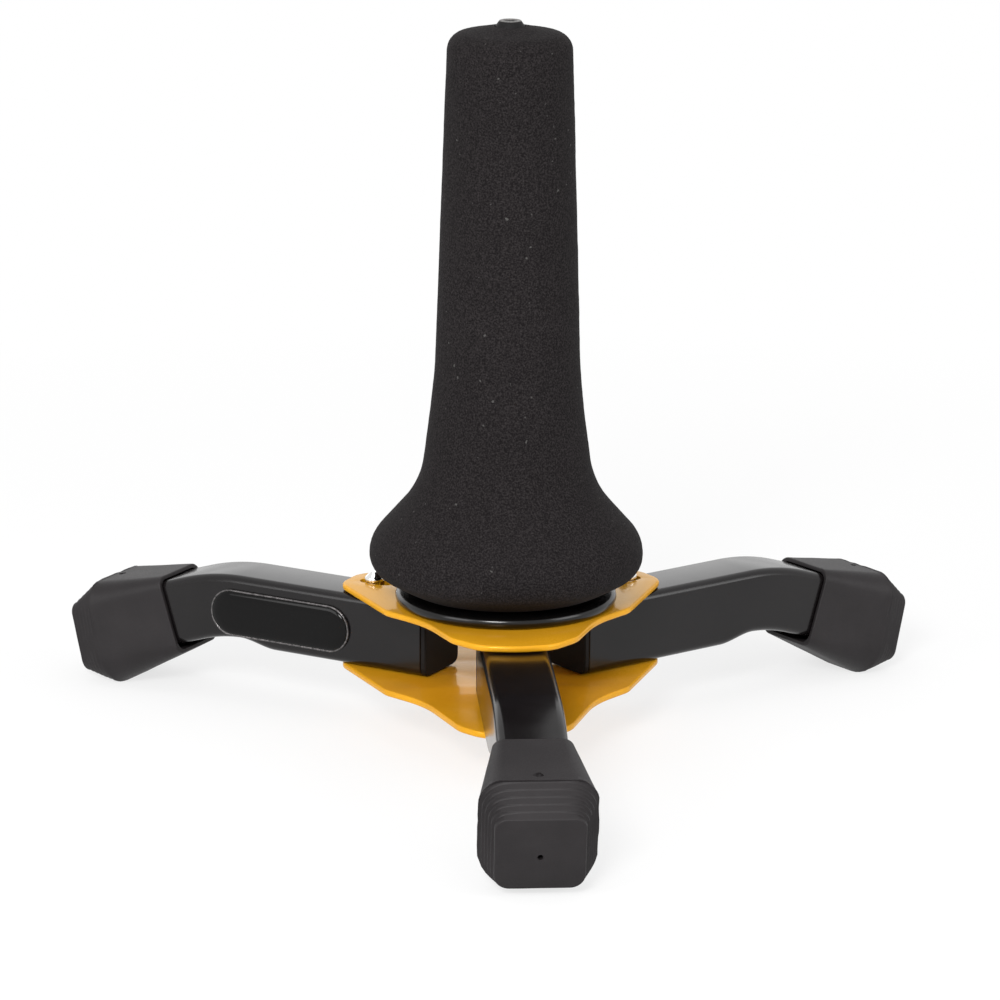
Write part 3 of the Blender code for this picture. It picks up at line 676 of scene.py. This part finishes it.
def loft(name, rings, caps=True):
    """Skin over closed rings of points, all with the same number of points."""
    mesh = bpy.data.meshes.new(name)
    with editing(mesh, outwards=True) as work:
        rows = [[work.verts.new(point) for point in points] for points in rings]
        count = len(rows[0])
        for low, high in zip(rows, rows[1:]):
            for index in range(count):
                other = (index + 1) % count
                work.faces.new((low[index], low[other], high[other], high[index]))
        if caps:
            work.faces.new(list(reversed(rows[0])))
            work.faces.new(rows[-1])
    return mesh


# Hub plates

def plate_outline(front_reach, corner, flank):
    """A front lobe of the given size and two narrow rear ones, with a waist and hip between."""
    cos, sin = math.cos(right_direction), math.sin(right_direction)
    rear_tip = [(lobe_reach * cos - side * sin, lobe_reach * sin + side * cos, lobe_tip_rounding)
                for side in (-rear_lobe_front_side, rear_lobe_back_side)]
    right = [(*corner, front_corner_rounding),
             (*flank, front_flank_rounding),
             (*waist, waist_rounding),
             (*hip, hip_rounding)] + rear_tip
    left = [(-x, y, rounding) for x, y, rounding in reversed(right)]
    front = (0.0, -front_reach, front_edge_rounding)
    back = (0.0, back_edge_reach, back_edge_rounding)
    return rounded_path([front] + right + [back] + left, True, 12)


def make_plate(node, front_lobe, with_screws):
    low, high = corners(node)
    name = node + "_face"
    outlines = [plate_outline(*front_lobe), circle_outline(0, 0, centre_hole / 2)]
    outlines += [slot_outline(left_direction), slot_outline(right_direction)]
    if with_screws:
        for along in screw_places:
            outlines.append(circle_outline(0, -along, screw_hole / 2, 28))
    mesh = plate_mesh(name, outlines, high.z - low.z)
    place = Matrix.Translation(Vector((hub.x, hub.y, (low.z + high.z) / 2)))
    add_piece(name, smooth(moved(mesh, place)), gold, "hub", node)


make_plate("upper_plate", (upper_front_reach, upper_front_corner, upper_front_flank), False)
make_plate("lower_plate", (lower_front_reach, lower_front_corner, lower_front_flank), True)


# Flange

def flange_mesh():
    radius = flange_diameter / 2
    low, high = flange_low.z, flange_high.z
    bore = centre_hole / 2
    profile = rounded_path([(bore, high, 0), (radius, high, flange_rim_rounding),
                            (radius, low, flange_rim_rounding), (bore, low, 0)], False, 10)
    return smooth(moved(turned_mesh("flange_gloss_disc", profile), hub_place))


add_piece("flange_gloss_disc", flange_mesh(), flange_gloss, "hub", "flange_disc")


# Foam sleeve

def foam_skin_mesh():
    """The sleeve's outline in short steps, with the slight unevenness of soft foam."""
    tip = foam_tip_diameter / 2
    neck = foam_neck_diameter / 2
    bulge = foam_bulge_diameter / 2
    top = foam_high.z
    low = foam_low.z
    hole = nub_base_diameter / 2 + foam_nub_clearance
    bore = foam_bore_radius
    outer = rounded_path([
        (hole, top, 0),
        (tip, top - foam_tip_dome, foam_tip_rounding),
        (foam_waist_diameter / 2, foam_waist_height, foam_waist_rounding),
        (neck, foam_neck_height, foam_neck_rounding),
        (bulge, foam_neck_height - (bulge - neck) * math.tan(foam_flare_slope),
         foam_bulge_rounding),
        (bulge, low + foam_belly_rise, foam_belly_rounding),
        (foam_seat_diameter / 2, low, foam_seat_rounding),
        (bore, low, 0)], False, 10)
    fine = [outer[0]]
    for start, end in zip(outer, outer[1:]):
        length = (Vector(end) - Vector(start)).length
        pieces = max(1, round(length / foam_outline_step))
        for index in range(1, pieces + 1):
            fine.append(tuple(Vector(start).lerp(Vector(end), index / pieces)))
    roof = top - foam_roof_depth
    mesh = turned_mesh("foam_sleeve_skin", fine + [(bore, roof), (hole, roof)], 144)
    with editing(mesh) as work:
        work.normal_update()
        for vert in work.verts:
            if vert.co.xy.length < bore + foam_even_margin or vert.co.z < low + foam_even_margin:
                continue
            ripple = noise.noise(vert.co * foam_ripple_scale)
            wave = noise.noise(vert.co * foam_wave_scale) + 0.5 * ripple
            grain = noise.noise(vert.co * foam_grain_scale)
            shift = foam_unevenness * (wave - 0.6) + foam_grain_height * (grain - 0.5)
            vert.co += vert.normal * shift
    return smooth(moved(mesh, hub_place), 60.0)


sleeve = add_piece("foam_sleeve_skin", foam_skin_mesh(), foam, "hub", "foam_sleeve")


# Nub on the peg's cap

def nub_mesh():
    """Tapered nub with a shallow recess, on the plug that fills the peg's top."""
    low, high = corners("peg_cap")
    top = high.z
    base = foam_high.z
    collar = base - cap_collar_depth
    profile = rounded_path([
        (0.0, top - nub_recess_depth, 0),
        (nub_recess_diameter / 2 - nub_recess_slope, top - nub_recess_depth,
         nub_recess_rounding),
        (nub_recess_diameter / 2, top, nub_lip_rounding),
        (nub_top_diameter / 2, top, nub_top_rounding),
        (nub_base_diameter / 2, base, nub_base_rounding),
        (nub_base_diameter / 2, collar, 0),
        (cap_plug_radius, collar, 0),
        (cap_plug_radius, low.z, 0),
        (0.0, low.z, 0)], False, 5)
    mesh = turned_mesh("peg_cap_nub", profile, 64)
    mesh.materials.append(plastic)
    mesh.materials.append(nub_top)
    # Faces within a small depth of the top take the paler second material
    for face in mesh.polygons:
        face.material_index = 1 if face.center.z > top - nub_pale_top_depth else 0
    return smooth(moved(mesh, hub_place))


add_piece("peg_cap_nub", nub_mesh(), None, "hub", "peg_cap")


# Legs

bend_length = leg_bend_radius * leg_bend_angle
bend_end = leg_bend_start + bend_length


def leg_frame(distance):
    """Middle line of a leg at a distance from the hub: point, outward axis, up axis."""
    turn = min(max(distance - leg_bend_start, 0) / leg_bend_radius, leg_bend_angle)
    straight = min(distance, leg_bend_start)
    tail = max(distance - bend_end, 0)
    axis = Vector((math.cos(turn), -math.sin(turn)))
    up = Vector((math.sin(turn), math.cos(turn)))
    point = Vector((straight + leg_bend_radius * math.sin(turn),
                    leg_middle - leg_bend_radius * (1 - math.cos(turn))))
    return point + axis * tail, axis, up


def pinch(distance):
    """How far the underside is pressed in by the bend."""
    start = leg_bend_start - pinch_length
    if distance <= start:
        return 0.0
    if distance <= leg_bend_start:
        share = (distance - start) / pinch_length
        return pinch_depth * (3 * share ** 2 - 2 * share ** 3)
    share = min((distance - leg_bend_start) / bend_length, 1.0)
    return pinch_depth + (pinch_left_over - pinch_depth) * share


def rounded_section(top, bottom, half_width, rounding, low_rounding, corner_steps, side_steps):
    """Rounded rectangle across a leg: its middle line runs from bottom to top,
    both (along, height) in the leg's upright plane. Points are (along, side, height)."""
    middle = (Vector(top) + Vector(bottom)) / 2
    up = (Vector(top) - Vector(bottom)).normalized()
    half_height = (Vector(top) - Vector(bottom)).length / 2
    ring = []
    for side, height, start in ((1, 1, 0), (-1, 1, 1), (-1, -1, 2), (1, -1, 3)):
        radius = low_rounding if height < 0 else rounding
        for step in range(corner_steps + 1):
            angle = (start + step / corner_steps) * math.pi / 2
            ring.append(Vector((side * (half_width - radius) + radius * math.cos(angle),
                                height * (half_height - radius) + radius * math.sin(angle))))
    full = []
    for index, point in enumerate(ring):
        full.append(point)
        if (index + 1) % (corner_steps + 1) == 0:
            after = ring[(index + 1) % len(ring)]
            for step in range(1, side_steps):
                full.append(point.lerp(after, step / side_steps))
    return [Vector((middle.x + up.x * point.y, point.x, middle.y + up.y * point.y))
            for point in full]


def leg_section(distance, grow=0.0, droop=0.0, steps=8, side_steps=1):
    point, _, up = leg_frame(distance)
    top = point + up * (leg_height / 2 + grow)
    bottom = point - up * (leg_height / 2 - pinch(distance) + grow + droop)
    rounding = leg_corner_rounding + grow
    return rounded_section(top, bottom, leg_width / 2 + grow, rounding, rounding,
                           steps, side_steps)


def about_pin(points):
    """The same points seen from the leg's pin at mid height."""
    return [point - Vector((pin_home, 0, leg_middle)) for point in points]


def leg_mesh(name, start):
    """The tube's outer skin, its wall at the inner end, and its inside."""
    stations = [start]
    last = start
    for end, steps in ((leg_bend_start - pinch_length, 6), (leg_bend_start, 12),
                       (bend_end, 14), (bend_end + leg_tail, 5)):
        stations += [last + (end - last) * index / steps for index in range(1, steps + 1)]
        last = end
    outer = [about_pin(leg_section(distance)) for distance in stations]
    inner = [about_pin(leg_section(distance, -leg_wall)) for distance in stations]
    rim = [about_pin(leg_section(start, -leg_end_edge)),
           about_pin(leg_section(start + leg_end_edge))]
    mesh = loft(name, list(reversed(inner)) + rim + outer[1:], caps=False)
    with editing(mesh, outwards=True) as work:
        ends = [edge for edge in work.edges if edge.is_boundary]
        bmesh.ops.bridge_loops(work, edges=ends)
    return mesh


# Boots

mouth_point, mouth_axis, mouth_up = leg_frame(bend_end + boot_mouth_after_bend)


def boot_point(along, rise):
    return mouth_point + mouth_axis * along + mouth_up * rise


def on_floor(along):
    """Point on the floor, as (along, rise) from the mouth."""
    return Vector((along, -(mouth_point.y + mouth_axis.y * along) / mouth_up.y))


mouth_rise = leg_height / 2 + boot_lip
mouth_fall = -(leg_height / 2 - pinch_left_over + boot_mouth_droop + boot_lip)
# Half width, upper corner and lower corner of the boot's main rings
mouth_size = (leg_width / 2 + boot_lip, boot_mouth_corner, boot_mouth_corner)
ridge_size = (boot_ridge_half_width, boot_ridge_corner, boot_ridge_low_corner)
end_size = (boot_end_half_width, boot_end_corner, boot_end_low_corner)


def grown(size, extra):
    return [length + extra for length in size]


def blended(first, last, share):
    return [low + (high - low) * share for low, high in zip(first, last)]


def boot_ring(top, bottom, size):
    """Ring of a boot from its top and bottom points, each (along, rise) from the mouth."""
    return rounded_section(boot_point(*top), boot_point(*bottom), *size,
                           boot_corner_steps, boot_side_steps)


def mouth_ring(along, inset):
    return boot_ring((along, mouth_rise - inset), (along, mouth_fall + inset),
                     grown(mouth_size, -inset))


def mouth_rings():
    """Up the hollow from the closed end of the tube's seat and over the lip."""
    mouth = bend_end + boot_mouth_after_bend
    rings = [leg_section(distance, boot_clearance, droop, boot_corner_steps, boot_side_steps)
             for distance, droop in (
                 (bend_end + leg_tail + boot_floor_gap, 0.0),
                 (mouth + boot_droop_length, 0.0),
                 (mouth + 0.5 * boot_droop_length, 0.5 * boot_mouth_droop),
                 (mouth + boot_lip_inner_edge, boot_mouth_droop))]
    rings.append(mouth_ring(0, boot_lip - boot_clearance - boot_lip_inner_edge))
    for step in range(5):
        angle = step / 4 * math.pi / 2
        rings.append(mouth_ring(boot_lip_rounding * (1 - math.cos(angle)),
                                boot_lip_rounding * (1 - math.sin(angle))))
    return rings


ridge_top = Vector(boot_ridge_top)
ridge_bottom = on_floor(boot_ridge_bottom_along)
land_top = ridge_top + Vector((boot_ridge_land, -boot_land_fall * boot_ridge_land))
land_bottom = on_floor(boot_ridge_bottom_along + boot_tread_length)
end_top = Vector(boot_end_top)
end_bottom = Vector(boot_end_bottom)


def cuff_rings():
    """From the lip, widening down to the ridge."""
    cuff_top = Vector((boot_lip_rounding, mouth_rise))
    cuff_bottom = Vector((boot_lip_rounding, mouth_fall))
    return [boot_ring(cuff_top.lerp(ridge_top, share), cuff_bottom.lerp(ridge_bottom, share),
                      blended(mouth_size, ridge_size, share))
            for share in boot_cuff_shares]


def frayed(place):
    """Share of the flash that is left at a place, between a tenth and all of it."""
    ragged = boot_fray_level + 0.6 * noise.noise(place) + 0.5 * noise.noise(place * 3.1)
    return min(max(ragged, boot_fray_least), 1.0)


def ridge_ring(share, out, seed=None):
    """Ring on the ridge's land; a seed makes it wander and fray like a mould's flash."""
    top = ridge_top.lerp(land_top, share)
    bottom = ridge_bottom.lerp(land_bottom, share)

    def ring(extra):
        lift = Vector((0, extra))
        return boot_ring(top + lift, bottom - lift, grown(ridge_size, extra))

    if seed is None:
        return ring(out)
    points = []
    for base, tip in zip(ring(0.0), ring(out)):
        place = base * boot_flash_scale + Vector((seed, 0, 0))
        point = base.lerp(tip, frayed(place))
        drift = boot_flash_drift * min(max(0.5 + noise.noise(place * 1.4), 0.0), 1.0)
        point += Vector((mouth_axis.x, 0, mouth_axis.y)) * drift
        points.append(Vector((point.x, point.y, max(point.z, 0.0))))
    return points


def ridge_rings(seed):
    """The thin flash that the mould's parting line leaves, its groove, and the land."""
    flash_share = boot_flash_thickness / boot_ridge_land
    return [ridge_ring(boot_flash_start, boot_flash_height, seed),
            ridge_ring(boot_flash_start + flash_share, boot_flash_height, seed),
            ridge_ring(boot_groove_start + flash_share, -boot_groove_depth, seed),
            ridge_ring(1.0, -boot_land_dip)]


def step_section(share, size_share):
    """Ring between the land and the end face."""
    top = land_top.lerp(end_top, share)
    top.y = land_top.y + (end_top.y - land_top.y) * size_share
    bottom = land_bottom.lerp(end_bottom, share)
    bottom.y = land_bottom.y + (end_bottom.y - land_bottom.y) * size_share
    return boot_ring(top, bottom, blended(ridge_size, end_size, size_share))


def step_rings():
    """Five moulded steps, strong at the sides and corners and faint in the middle."""
    rings = []
    for step in range(boot_steps):
        for along, size in boot_step_profile:
            share = (step + along) / boot_steps
            stepped = step_section(share, (step + size) / boot_steps)
            plain = step_section(share, share)
            half = max(abs(point.y) for point in plain)
            ring = []
            for soft_point, sharp_point in zip(plain, stepped):
                side = (abs(soft_point.y) / half - boot_middle_share) / boot_middle_fade
                side = min(max(side, 0.0), 1.0)
                side = side * side * (3 - 2 * side)
                keep = boot_middle_steps + (1 - boot_middle_steps) * side
                ring.append(soft_point.lerp(sharp_point, keep))
            rings.append(ring)
    return rings


def end_rings():
    """Rounded rim of the end face."""
    rings = []
    for step in (1, 2, 3, 4):
        angle = step / 4 * math.pi / 2
        inset = boot_end_rounding * (1 - math.cos(angle))
        out = boot_end_rounding * math.sin(angle)
        rings.append(boot_ring((end_top.x + out, end_top.y - inset),
                               (end_bottom.x + out, end_bottom.y + inset),
                               grown(end_size, -inset)))
    return rings


def vent_cutter():
    """Round plug where the small moulding hole opens in the end face."""
    top = boot_point(*boot_end_top)
    bottom = boot_point(*boot_end_bottom)
    up = (top - bottom).normalized()
    out = Vector((up.y, -up.x))
    middle = (top + bottom) / 2 - up * boot_vent_below_middle
    rings = []
    for depth in (-boot_vent_depth, boot_vent_overrun):
        centre = middle + out * (depth + boot_end_rounding)
        points = []
        for index in range(boot_vent_sides):
            angle = 2 * math.pi * index / boot_vent_sides
            side = boot_vent_diameter / 2 * math.cos(angle)
            rise = boot_vent_diameter / 2 * math.sin(angle)
            points.append(Vector((centre.x + up.x * rise, side, centre.y + up.y * rise)))
        rings.append(about_pin(points))
    return loft("vent_cutter", rings)


def gate_cutter(seed):
    """Rough lump that leaves the torn gate mark on the cuff, just before the ridge."""
    along = ridge_top.x - boot_gate_before_ridge
    share = (along - boot_lip_rounding) / (ridge_top.x - boot_lip_rounding)
    rise = mouth_rise + (ridge_top.y - mouth_rise) * share
    place = boot_point(along, rise)
    shift = Vector((place.x - pin_home, boot_gate_aside, place.y - leg_middle - boot_gate_sink))
    mesh = bpy.data.meshes.new("gate_cutter")
    with editing(mesh) as work:
        bmesh.ops.create_icosphere(work, subdivisions=3, radius=boot_gate_radius)
        for vert in work.verts:
            lump = noise.noise(vert.co * boot_gate_scale + Vector((seed, 3, 0)))
            vert.co = Vector((boot_gate_length_share * vert.co.x,
                              boot_gate_width_share * vert.co.y,
                              vert.co.z)) * (1.0 + boot_gate_roughness * lump)
            vert.co += shift
    return mesh


def boot_mesh(name, seed):
    """Boot with its vent and gate mark, and the faint waviness of a moulded part."""
    rings = mouth_rings() + cuff_rings() + ridge_rings(seed) + step_rings() + end_rings()
    holder = new_object(name + "_work", loft(name, [about_pin(points) for points in rings]))
    cutters = []
    for kind, cutter_mesh in (("vent", vent_cutter()), ("gate", gate_cutter(seed))):
        cutter = new_object(name + "_" + kind, cutter_mesh)
        cutters.append(cutter)
        cut = holder.modifiers.new(kind, 'BOOLEAN')
        cut.operation = 'DIFFERENCE'
        cut.solver = 'EXACT'
        cut.object = cutter
    result = evaluated_mesh(holder)
    for item in [holder] + cutters:
        bpy.data.objects.remove(item, do_unlink=True)
    result.name = name
    with editing(result) as work:
        work.normal_update()
        for vert in work.verts:
            if vert.co.z < boot_tread_margin - leg_middle or vert.co.x < 0:
                continue
            wave = noise.noise(vert.co * boot_waviness_scale + Vector((seed, 0, 0)))
            vert.co += vert.normal * (boot_waviness * (wave - 0.5))
    return result


def make_leg(side, body, seed):
    """One tube and its boot; the seed varies the boot's fine marks."""
    place = leg_places[side]
    mesh = moved(leg_mesh(side + "_leg_tube", leg_inner_end + plug_face_thickness), place)
    add_piece(side + "_leg_tube", smooth(mesh), enamel, body, side + "_leg")
    boot = moved(boot_mesh(side + "_boot", seed), place)
    add_piece(side + "_boot", smooth(boot, 32.0), rubber, body, side + "_foot")


make_leg("front", "hub", 0.0)
make_leg("left", "left_leg_swing", 7.0)
make_leg("right", "right_leg_swing", 13.0)


# Pins in the slots

def pin_mesh(name, node):
    """Domed head with a small flat, shank and riveted tail."""
    low, high = corners(node)
    head = pin_head_diameter / 2
    head_low = plates_top + pin_head_gap
    shank = pin_diameter / 2
    tail = pin_tail_radius
    tail_top = low.z + pin_tail_height
    profile = rounded_path([
        (0.0, high.z, 0),
        (head * pin_head_flat_share, high.z, pin_head_top_rounding),
        (head, high.z - head * pin_head_side_share, head * pin_head_rounding_share),
        (head, head_low, pin_head_edge),
        (shank, head_low, 0),
        (shank, tail_top, 0),
        (tail, tail_top, pin_tail_top_rounding),
        (tail, low.z + pin_tail_side, pin_tail_side_rounding),
        (pin_tail_flat_share * tail, low.z, pin_tail_low_rounding),
        (0.0, low.z, 0)], False, 6)
    return turned_mesh(name, profile, 48)


def make_pin(side, direction):
    name = side + "_pin_rivet"
    across = Vector((hub.x + pin_home * math.cos(direction),
                     hub.y + pin_home * math.sin(direction), 0))
    mesh = moved(pin_mesh(name, side + "_pin"), Matrix.Translation(across))
    add_piece(name, smooth(mesh, 50.0), chrome, side + "_pin_slide",
              side + "_pin")


make_pin("left", left_direction)
make_pin("right", right_direction)


# Badge

def badge_mesh():
    """Stadium with a fine raised rim, a full round shoulder and a nearly flat face."""
    radius = badge_height / 2
    half_straight = badge_length / 2 - radius
    bead = badge_rim_width / 2
    rings = [(0.0, 0.0), (0.0, badge_rim_rise)]
    for step in range(1, badge_rim_steps + 1):
        angle = math.pi * step / badge_rim_steps
        rings.append((bead * (1 - math.cos(angle)),
                      badge_rim_rise + 0.5 * bead * math.sin(angle)))
    rim_rings = len(rings)
    shoulder_rise = badge_thickness - badge_rim_rise - badge_crown
    for step in range(1, badge_shoulder_steps + 1):
        angle = step / badge_shoulder_steps * math.pi / 2
        rings.append((badge_rim_width + badge_shoulder * (1 - math.cos(angle)),
                      badge_rim_rise + shoulder_rise * math.sin(angle)))
    flat = radius - badge_rim_width - badge_shoulder
    for share in (0.3, 0.6, 0.9):
        rings.append((badge_rim_width + badge_shoulder + share * flat,
                      badge_thickness - badge_crown * (1 - share) ** 2))
    points = []
    for inset, height in rings:
        ring = []
        for sign in (1, -1):
            for index in range(badge_end_steps + 1):
                half_turn = 0 if sign == 1 else math.pi
                angle = math.pi * (index / badge_end_steps - 0.5) + half_turn
                x = sign * half_straight + (radius - inset) * math.cos(angle)
                z = (radius - inset) * math.sin(angle)
                ring.append(Vector((badge_centre + x - pin_home,
                                    leg_width / 2 + badge_gap + height, z - badge_drop)))
        points.append(ring)
    mesh = loft("left_badge_dome", points)
    mesh.materials.append(badge_gloss)
    mesh.materials.append(badge_rim_painted_highlight)
    per_ring = len(points[0])
    # The rim's faces take the pale second material, a painted highlight along the badge's edge
    for face in mesh.polygons:
        if max(face.vertices) < rim_rings * per_ring and len(face.vertices) == 4:
            face.material_index = 1
    return mesh


badge = smooth(moved(badge_mesh(), leg_places["left"]), 60.0)
add_piece("left_badge_dome", badge, None, "left_leg_swing", "left_badge")


# Finish of the CAD pieces that stay

node_looks = (
    (zinc, ("centre_spacer", "centre_washer", "centre_bolt", "peg_tube", "peg_insert",
            "front_leg_screw_1", "front_leg_screw_2", "front_leg_nut_1", "front_leg_nut_2",
            "left_pivot_bush", "right_pivot_bush")),
    (chrome, ("left_pin_washer", "right_pin_washer")),
    (plastic, ("front_inner_plug", "left_inner_plug", "right_inner_plug")),
)
for look, node_names in node_looks:
    for node_name in node_names:
        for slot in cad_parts[node_name].material_slots:
            slot.material = look


# Floor, light and camera

def seen_rays(tree):
    """The light path, and a value that is 1 on rays from the camera or a reflection."""
    ray = add_node(tree, "LightPath")
    return ray, combine(tree, 'MAXIMUM', ray, "Is Camera Ray", ray, "Is Glossy Ray")


def floor_material():
    """Plain pale floor that takes the stand's shadow nearby and turns pure white further out."""
    material, tree, shader = new_material("pale_floor")
    set_inputs(shader, Base_Color=(0.90, 0.90, 0.90, 1.0), Roughness=0.9,
               Specular_IOR_Level=0.05)
    glow = add_node(tree, "Emission", Color=(1.0, 1.0, 1.0, 1.0), Strength=1.0)
    _, seen = seen_rays(tree)
    reach = add_node(tree, "VectorMath", operation='LENGTH')
    wire(tree, object_point(tree), "Object", reach, 0)
    white = between(tree, reach, "Value", floor_shadow_reach, floor_white_reach,
                    floor_near_white, 1.0)
    share = combine(tree, 'MULTIPLY', seen, "Value", white, "Result")
    mix = add_node(tree, "MixShader")
    wire(tree, share, "Value", mix, 0)
    wire(tree, shader, "BSDF", mix, 1)
    wire(tree, glow, "Emission", mix, 2)
    output = next(node for node in tree.nodes if node.type == 'OUTPUT_MATERIAL')
    wire(tree, mix, "Shader", output, "Surface")
    return material


floor_mesh = bpy.data.meshes.new("floor")
with editing(floor_mesh) as floor_work:
    bmesh.ops.create_grid(floor_work, x_segments=1, y_segments=1, size=floor_half_size)
floor_mesh.materials.append(floor_material())
floor = new_object("floor", floor_mesh)


def make_world():
    """White where the camera or a reflection sees it, and a plain level of light elsewhere."""
    world = bpy.data.worlds.new("studio")
    world.use_nodes = True
    tree = world.node_tree
    sky = tree.nodes["Background"]
    set_inputs(sky, Color=(1.0, 1.0, 1.0, 1.0))
    ray, seen = seen_rays(tree)
    clear = combine(tree, 'MAXIMUM', seen, "Value", ray, "Is Transmission Ray")
    strength = between(tree, clear, "Value", 0.0, 1.0, sky_light, 1.0)
    wire(tree, strength, "Result", sky, "Strength")
    return world


def add_lamp(name, place, size, power):
    """Rectangular softbox turned towards the stand."""
    data = bpy.data.lights.new(name, 'AREA')
    data.shape = 'RECTANGLE'
    data.size, data.size_y = size
    data.energy = power
    lamp = new_object(name, data)
    lamp.location = place
    lamp.rotation_mode = 'QUATERNION'
    lamp.rotation_quaternion = (Vector(lamp_aim) - Vector(place)).to_track_quat('-Z', 'Y')


scene = bpy.context.scene
scene.world = make_world()
add_lamp("overhead_softbox", (0.0, 0.10, 1.30), (1.2, 0.9), 3.2)
add_lamp("left_softbox", (-1.10, -0.75, 0.62), (0.7, 0.7), 5.5)
add_lamp("right_softbox", (1.15, -0.55, 0.58), (0.7, 0.7), 5.5)
add_lamp("front_softbox", (-0.38, -1.28, 0.86), (0.45, 0.30), 18.0)
add_lamp("back_softbox", (-0.30, 1.32, 0.42), (1.6, 0.45), 1.2)

camera_data = bpy.data.cameras.new("photo_camera")
camera_data.lens = camera_lens
camera_data.sensor_width = camera_sensor
camera = new_object("photo_camera", camera_data)


def turned_pair(first, second, angle):
    """Two directions at right angles, turned from the first towards the second."""
    cos, sin = math.cos(angle), math.sin(angle)
    return first * cos + second * sin, second * cos - first * sin


def place_camera():
    """Look down at the hub's axis, then pan, tilt and roll; the stand itself is turned."""
    cos, sin = math.cos(camera_elevation), math.sin(camera_elevation)
    spot = Vector((0.0, -camera_distance * cos, camera_aim_height + camera_distance * sin))
    ahead = Vector((0.0, cos, -sin))
    right = Vector((1.0, 0.0, 0.0))
    up = right.cross(ahead)
    ahead, right = turned_pair(ahead, right, camera_pan)
    ahead, up = turned_pair(ahead, up, camera_tilt)
    right, up = turned_pair(right, up, camera_roll)
    turn = Matrix.Rotation(-stand_turn, 4, 'Z')
    axes = Matrix((right, up, -ahead)).transposed().to_4x4()
    camera.matrix_world = hub_place @ turn @ Matrix.Translation(spot) @ axes


place_camera()
scene.camera = camera
scene.view_settings.view_transform = 'Standard'
